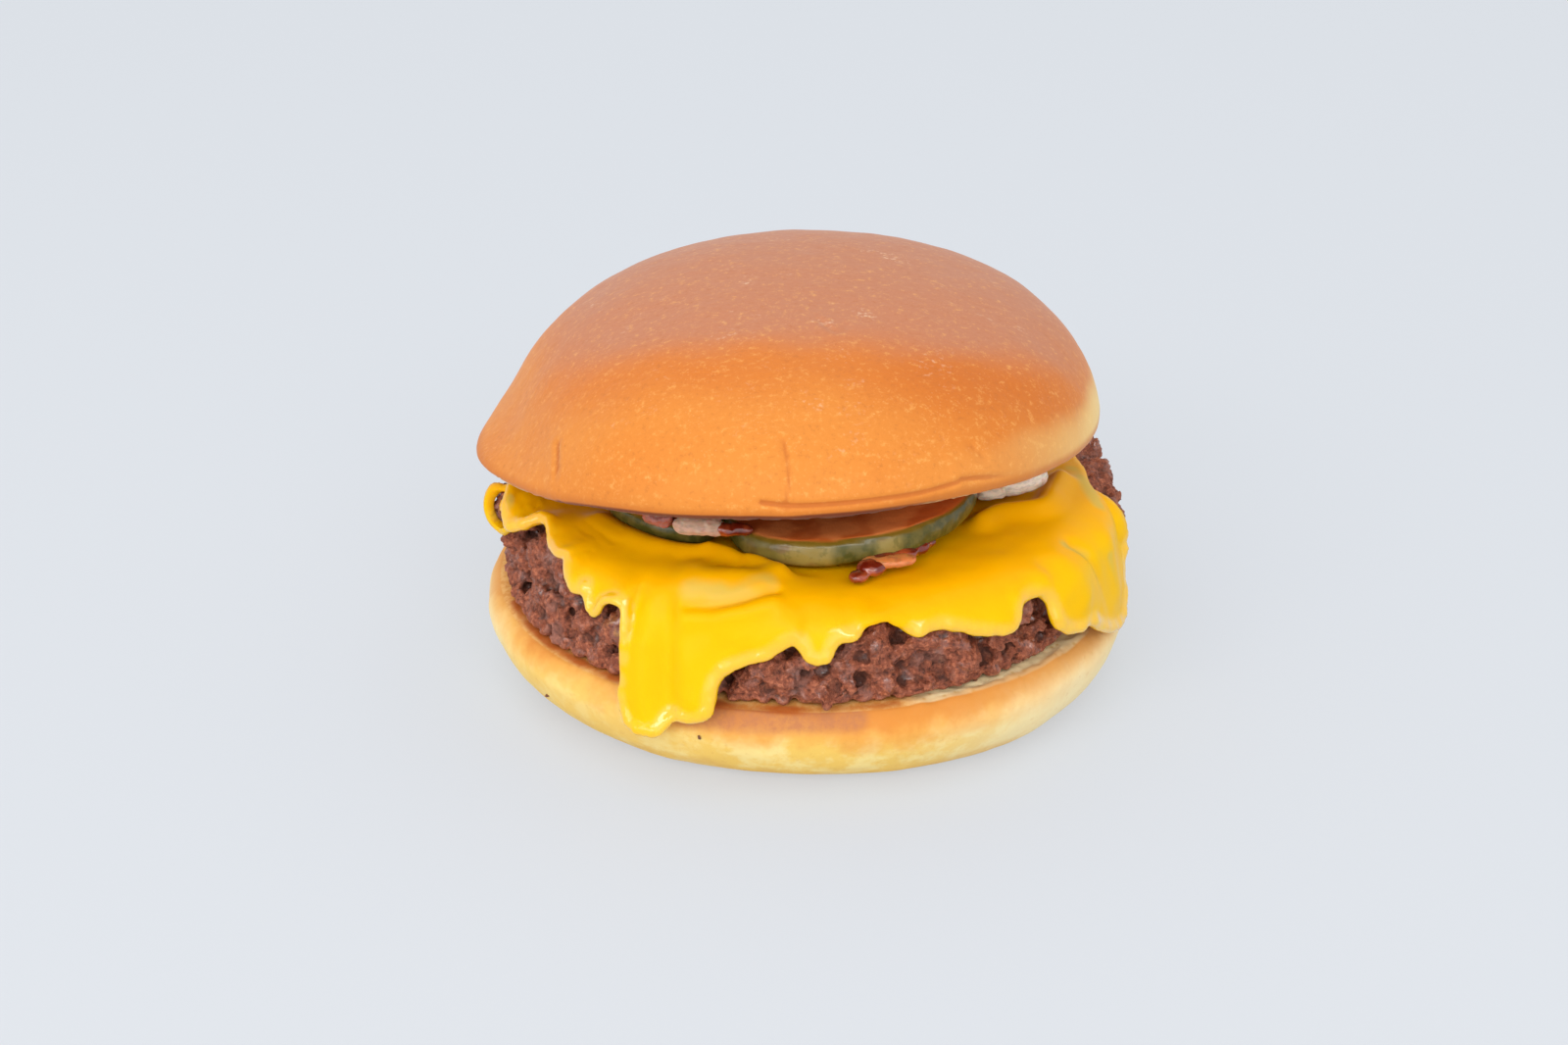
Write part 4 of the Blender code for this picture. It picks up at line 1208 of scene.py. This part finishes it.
def make_onions(look):
    """The loose onion pieces and the chopped bits in the ketchup."""
    for node in ("onion_left", "onion_left_pink", "onion_right", "onion_right_small", "onion_front"):
        piece = copy_of(node, node + "_piece", 3)
        skin = Skin(piece)
        ragged = 0.40 * skin.billow(1.5 * MM, 1) + 0.20 * skin.billow(0.7 * MM, 2)
        skin.push(MM * ragged * ONION_RAGGED.get(node, 0.35))
        skin.points += np.array(ONION_MOVES.get(node, (0, 0, 0))) * MM
        skin.settle()
        dress(piece, onion_finish(look, node))
        settle_in(piece, "onion", node)
    rng = random.Random(5)
    block = onion_block()
    matrices = []
    for i in range(64):
        azimuth = 360.0 * (i + 0.6 * rng.random()) / 64
        if 205 < azimuth < 338:
            continue
        reach = rng.uniform(33.0, 36.5)
        place = spot(azimuth, reach, 34.2 + 3.4 * rng.random())
        size = look.onion_size * rng.uniform(0.5, 0.9)
        turn = Euler((rng.uniform(-0.5, 0.5), rng.uniform(-0.5, 0.5), rng.uniform(0, 6.3)))
        scale = Matrix.Diagonal((size, size * 0.7, size * 0.42, 1.0))
        matrices.append(Matrix.Translation(place) @ turn.to_matrix().to_4x4() @ scale)
    bits = copies(block, "onion_bits", matrices)
    bpy.data.objects.remove(block)
    dress(bits, onion_finish(look, "bits"))
    settle_in(bits, "onion")


def onion_finish(look, node):
    """Moist translucent onion, stained where it touches the ketchup."""
    finish = Finish(node.replace("_", " ") + " onion", Roughness=0.3, Specular_IOR_Level=0.3,
                    Coat_Roughness=0.05, Subsurface_Weight=0.5, Subsurface_Scale=0.0015)
    fibre = finish.grain(1.5 * MM, 3.0, 0.6, (1, 1, 3))
    pale = ONION_TINTS.get(node, tuple(look.onion))
    base = finish.mix(pale, tuple(0.72 * c for c in pale), fibre.step(0.4, 0.65))
    base = finish.mix(base, (0.45, 0.13, 0.06), finish.grain(2.6 * MM, 2.0).step(0.58, 0.72) * 0.5)
    return finish.look(
        Base_Color=base,
        Roughness=0.22 + 0.2 * fibre,
        Coat_Weight=0.45 * fibre,
        Normal=finish.bump(fibre, 0.2 * MM, 0.6))


# ------------------------------------------------------------------ crumbs
# dark crumbs on the bun: azimuth, radius, height and half length in mm
CRUMBS = (
    (217.0, 50.9, 7.2, 0.5),
    (224.6, 47.4, 15.2, 0.6),
    (251.4, 51.2, 9.9, 0.4),
    (303.0, 47.4, 15.3, 0.6),
)


def make_crumbs(look):
    """Loose crumbs of seared meat on the heel."""
    bpy.ops.mesh.primitive_ico_sphere_add(subdivisions=2, radius=1.0)
    grain = bpy.context.object
    for vert in grain.data.vertices:
        vert.co *= 1.0 + 0.5 * noise.noise(vert.co * 1.4)
    matrices = []
    for i, (azimuth, radius, height, size) in enumerate(CRUMBS):
        turn = Euler((i * 1.3, i * 0.7, azimuth))
        scale = Matrix.Diagonal((size * MM, size * 0.6 * MM, size * 0.5 * MM, 1.0))
        matrices.append(Matrix.Translation(spot(azimuth, radius, height))
                        @ turn.to_matrix().to_4x4() @ scale)
    crumbs = copies(grain, "crumbs", matrices)
    bpy.data.objects.remove(grain)
    finish = Finish("seared crumbs", Roughness=0.6)
    base = finish.mix((0.10, 0.03, 0.015), (0.22, 0.08, 0.03), finish.grain(0.5 * MM, 2.0))
    dress(crumbs, finish.look(Base_Color=base))
    settle_in(crumbs, "beef")


# ------------------------------------------------------------------ stage
def make_stage(look):
    """Pale floor, soft light from all round and from above, and the camera."""
    bpy.ops.object.select_all(action="DESELECT")
    bpy.ops.mesh.primitive_plane_add(size=8.0)
    floor = bpy.context.object
    floor.name = "floor"
    paper = Finish("pale floor", Roughness=0.8, Specular_IOR_Level=0.1, Emission_Strength=1.0)
    dress(floor, paper.look(Base_Color=look.floor, Emission_Color=look.floor_glow))
    world = bpy.data.worlds.new("daylight")
    world.use_nodes = True
    sky = world.node_tree.nodes["Background"]
    sky.inputs["Color"].default_value = (0.96, 0.98, 1.0, 1.0)
    sky.inputs["Strength"].default_value = look.daylight
    bpy.context.scene.world = world
    aim = Vector((0, 0, 30 * MM))
    for name, place, width, depth, power in (
            ("overhead", (0.0, -0.2, 1.3), 1.6, 1.6, look.overhead),
            ("front", (-0.12, -1.3, 0.40), 2.2, 1.1, look.front),
            ("strip", (-0.12, -0.83, 0.68), 1.5, 0.26, look.strip),
            ("side", (-0.85, -0.75, 0.16), 0.6, 0.4, look.side)):
        lamp = bpy.data.lights.new(name, "AREA")
        lamp.shape = "RECTANGLE"
        lamp.size = width
        lamp.size_y = depth
        lamp.energy = power
        obj = bpy.data.objects.new(name, lamp)
        obj.location = place
        obj.rotation_euler = (aim - Vector(place)).to_track_quat("-Z", "Y").to_euler()
        bpy.context.scene.collection.objects.link(obj)
    camera = bpy.data.cameras.new("camera")
    camera.lens = 70.0
    camera.sensor_width = 36.0
    eye = bpy.data.objects.new("camera", camera)
    aim = AXIS + Vector((-3.5 * MM, 0.0, 22.5 * MM))
    back = Vector((0.0, -math.cos(look.elevation), math.sin(look.elevation)))
    eye.location = aim + back * look.distance
    eye.rotation_euler = (math.radians(90.0) - look.elevation, 0.0, 0.0)
    bpy.context.scene.collection.objects.link(eye)
    bpy.context.scene.camera = eye
    bpy.context.scene.view_settings.view_transform = "Standard"


# ------------------------------------------------------------------ add-on
class BurgerSettings(bpy.types.PropertyGroup):
    """Everything that the user can change."""
    bun: PointerProperty(type=BurgerBun)
    beef: PointerProperty(type=BurgerBeef)
    cheese: PointerProperty(type=BurgerCheese)
    toppings: PointerProperty(type=BurgerToppings)
    stage: PointerProperty(type=BurgerStage)


class BURGER_OT_heel(bpy.types.Operator):
    """Make the bun's bottom half"""
    bl_idname = "burger.heel"
    bl_label = "Bun heel"

    def execute(self, context):
        make_heel(context.scene.burger.bun)
        return {"FINISHED"}


class BURGER_OT_patty(bpy.types.Operator):
    """Make the beef patty"""
    bl_idname = "burger.patty"
    bl_label = "Beef patty"

    def execute(self, context):
        make_patty(context.scene.burger.beef)
        return {"FINISHED"}


class BURGER_OT_cheese(bpy.types.Operator):
    """Make the melted cheese slice"""
    bl_idname = "burger.cheese"
    bl_label = "Cheese slice"

    def execute(self, context):
        make_cheese(context.scene.burger.cheese, context.scene.burger.beef)
        return {"FINISHED"}


class BURGER_OT_toppings(bpy.types.Operator):
    """Make the pickles, the onion and the ketchup"""
    bl_idname = "burger.toppings"
    bl_label = "Pickles, onion and ketchup"

    def execute(self, context):
        look = context.scene.burger.toppings
        make_pickle(look, "pickle_front", "pickle_front_slice", 3)
        make_pickle(look, "pickle_left", "pickle_left_slice", 4)
        make_relish(look)
        make_ketchup(look)
        make_onions(look)
        return {"FINISHED"}


class BURGER_OT_crown(bpy.types.Operator):
    """Make the bun's top half"""
    bl_idname = "burger.crown"
    bl_label = "Bun crown"

    def execute(self, context):
        make_crown(context.scene.burger.bun)
        return {"FINISHED"}


class BURGER_OT_crumbs(bpy.types.Operator):
    """Scatter the loose crumbs"""
    bl_idname = "burger.crumbs"
    bl_label = "Crumbs"

    def execute(self, context):
        make_crumbs(context.scene.burger.beef)
        return {"FINISHED"}


class BURGER_OT_stage(bpy.types.Operator):
    """Set up the floor, the lights and the camera"""
    bl_idname = "burger.stage"
    bl_label = "Stage"

    def execute(self, context):
        make_stage(context.scene.burger.stage)
        return {"FINISHED"}


OPERATORS = (BURGER_OT_heel, BURGER_OT_patty, BURGER_OT_cheese, BURGER_OT_toppings,
             BURGER_OT_crown, BURGER_OT_crumbs, BURGER_OT_stage)


class BURGER_PT_sidebar(bpy.types.Panel):
    """Lists the steps and their settings in the 3D view's sidebar"""
    bl_idname = "BURGER_PT_sidebar"
    bl_label = "Cheeseburger"
    bl_space_type = "VIEW_3D"
    bl_region_type = "UI"
    bl_category = "Burger"

    def draw(self, context):
        for operator in OPERATORS:
            self.layout.operator(operator.bl_idname)
        for group in ("bun", "beef", "cheese", "toppings", "stage"):
            box = self.layout.box()
            settings = getattr(context.scene.burger, group)
            for name in settings.bl_rna.properties.keys():
                if name not in ("rna_type", "name"):
                    box.prop(settings, name)


CLASSES = (BurgerBun, BurgerBeef, BurgerCheese, BurgerToppings, BurgerStage, BurgerSettings,
           *OPERATORS, BURGER_PT_sidebar)


def register():
    for each in CLASSES:
        bpy.utils.register_class(each)
    bpy.types.Scene.burger = PointerProperty(type=BurgerSettings)


def unregister():
    del bpy.types.Scene.burger
    for each in reversed(CLASSES):
        bpy.utils.unregister_class(each)


def main():
    """Build every piece."""
    register()
    for step in (bpy.ops.burger.heel, bpy.ops.burger.patty, bpy.ops.burger.cheese,
                 bpy.ops.burger.toppings, bpy.ops.burger.crown, bpy.ops.burger.crumbs,
                 bpy.ops.burger.stage):
        step()


if __name__ == "__main__":
    main()
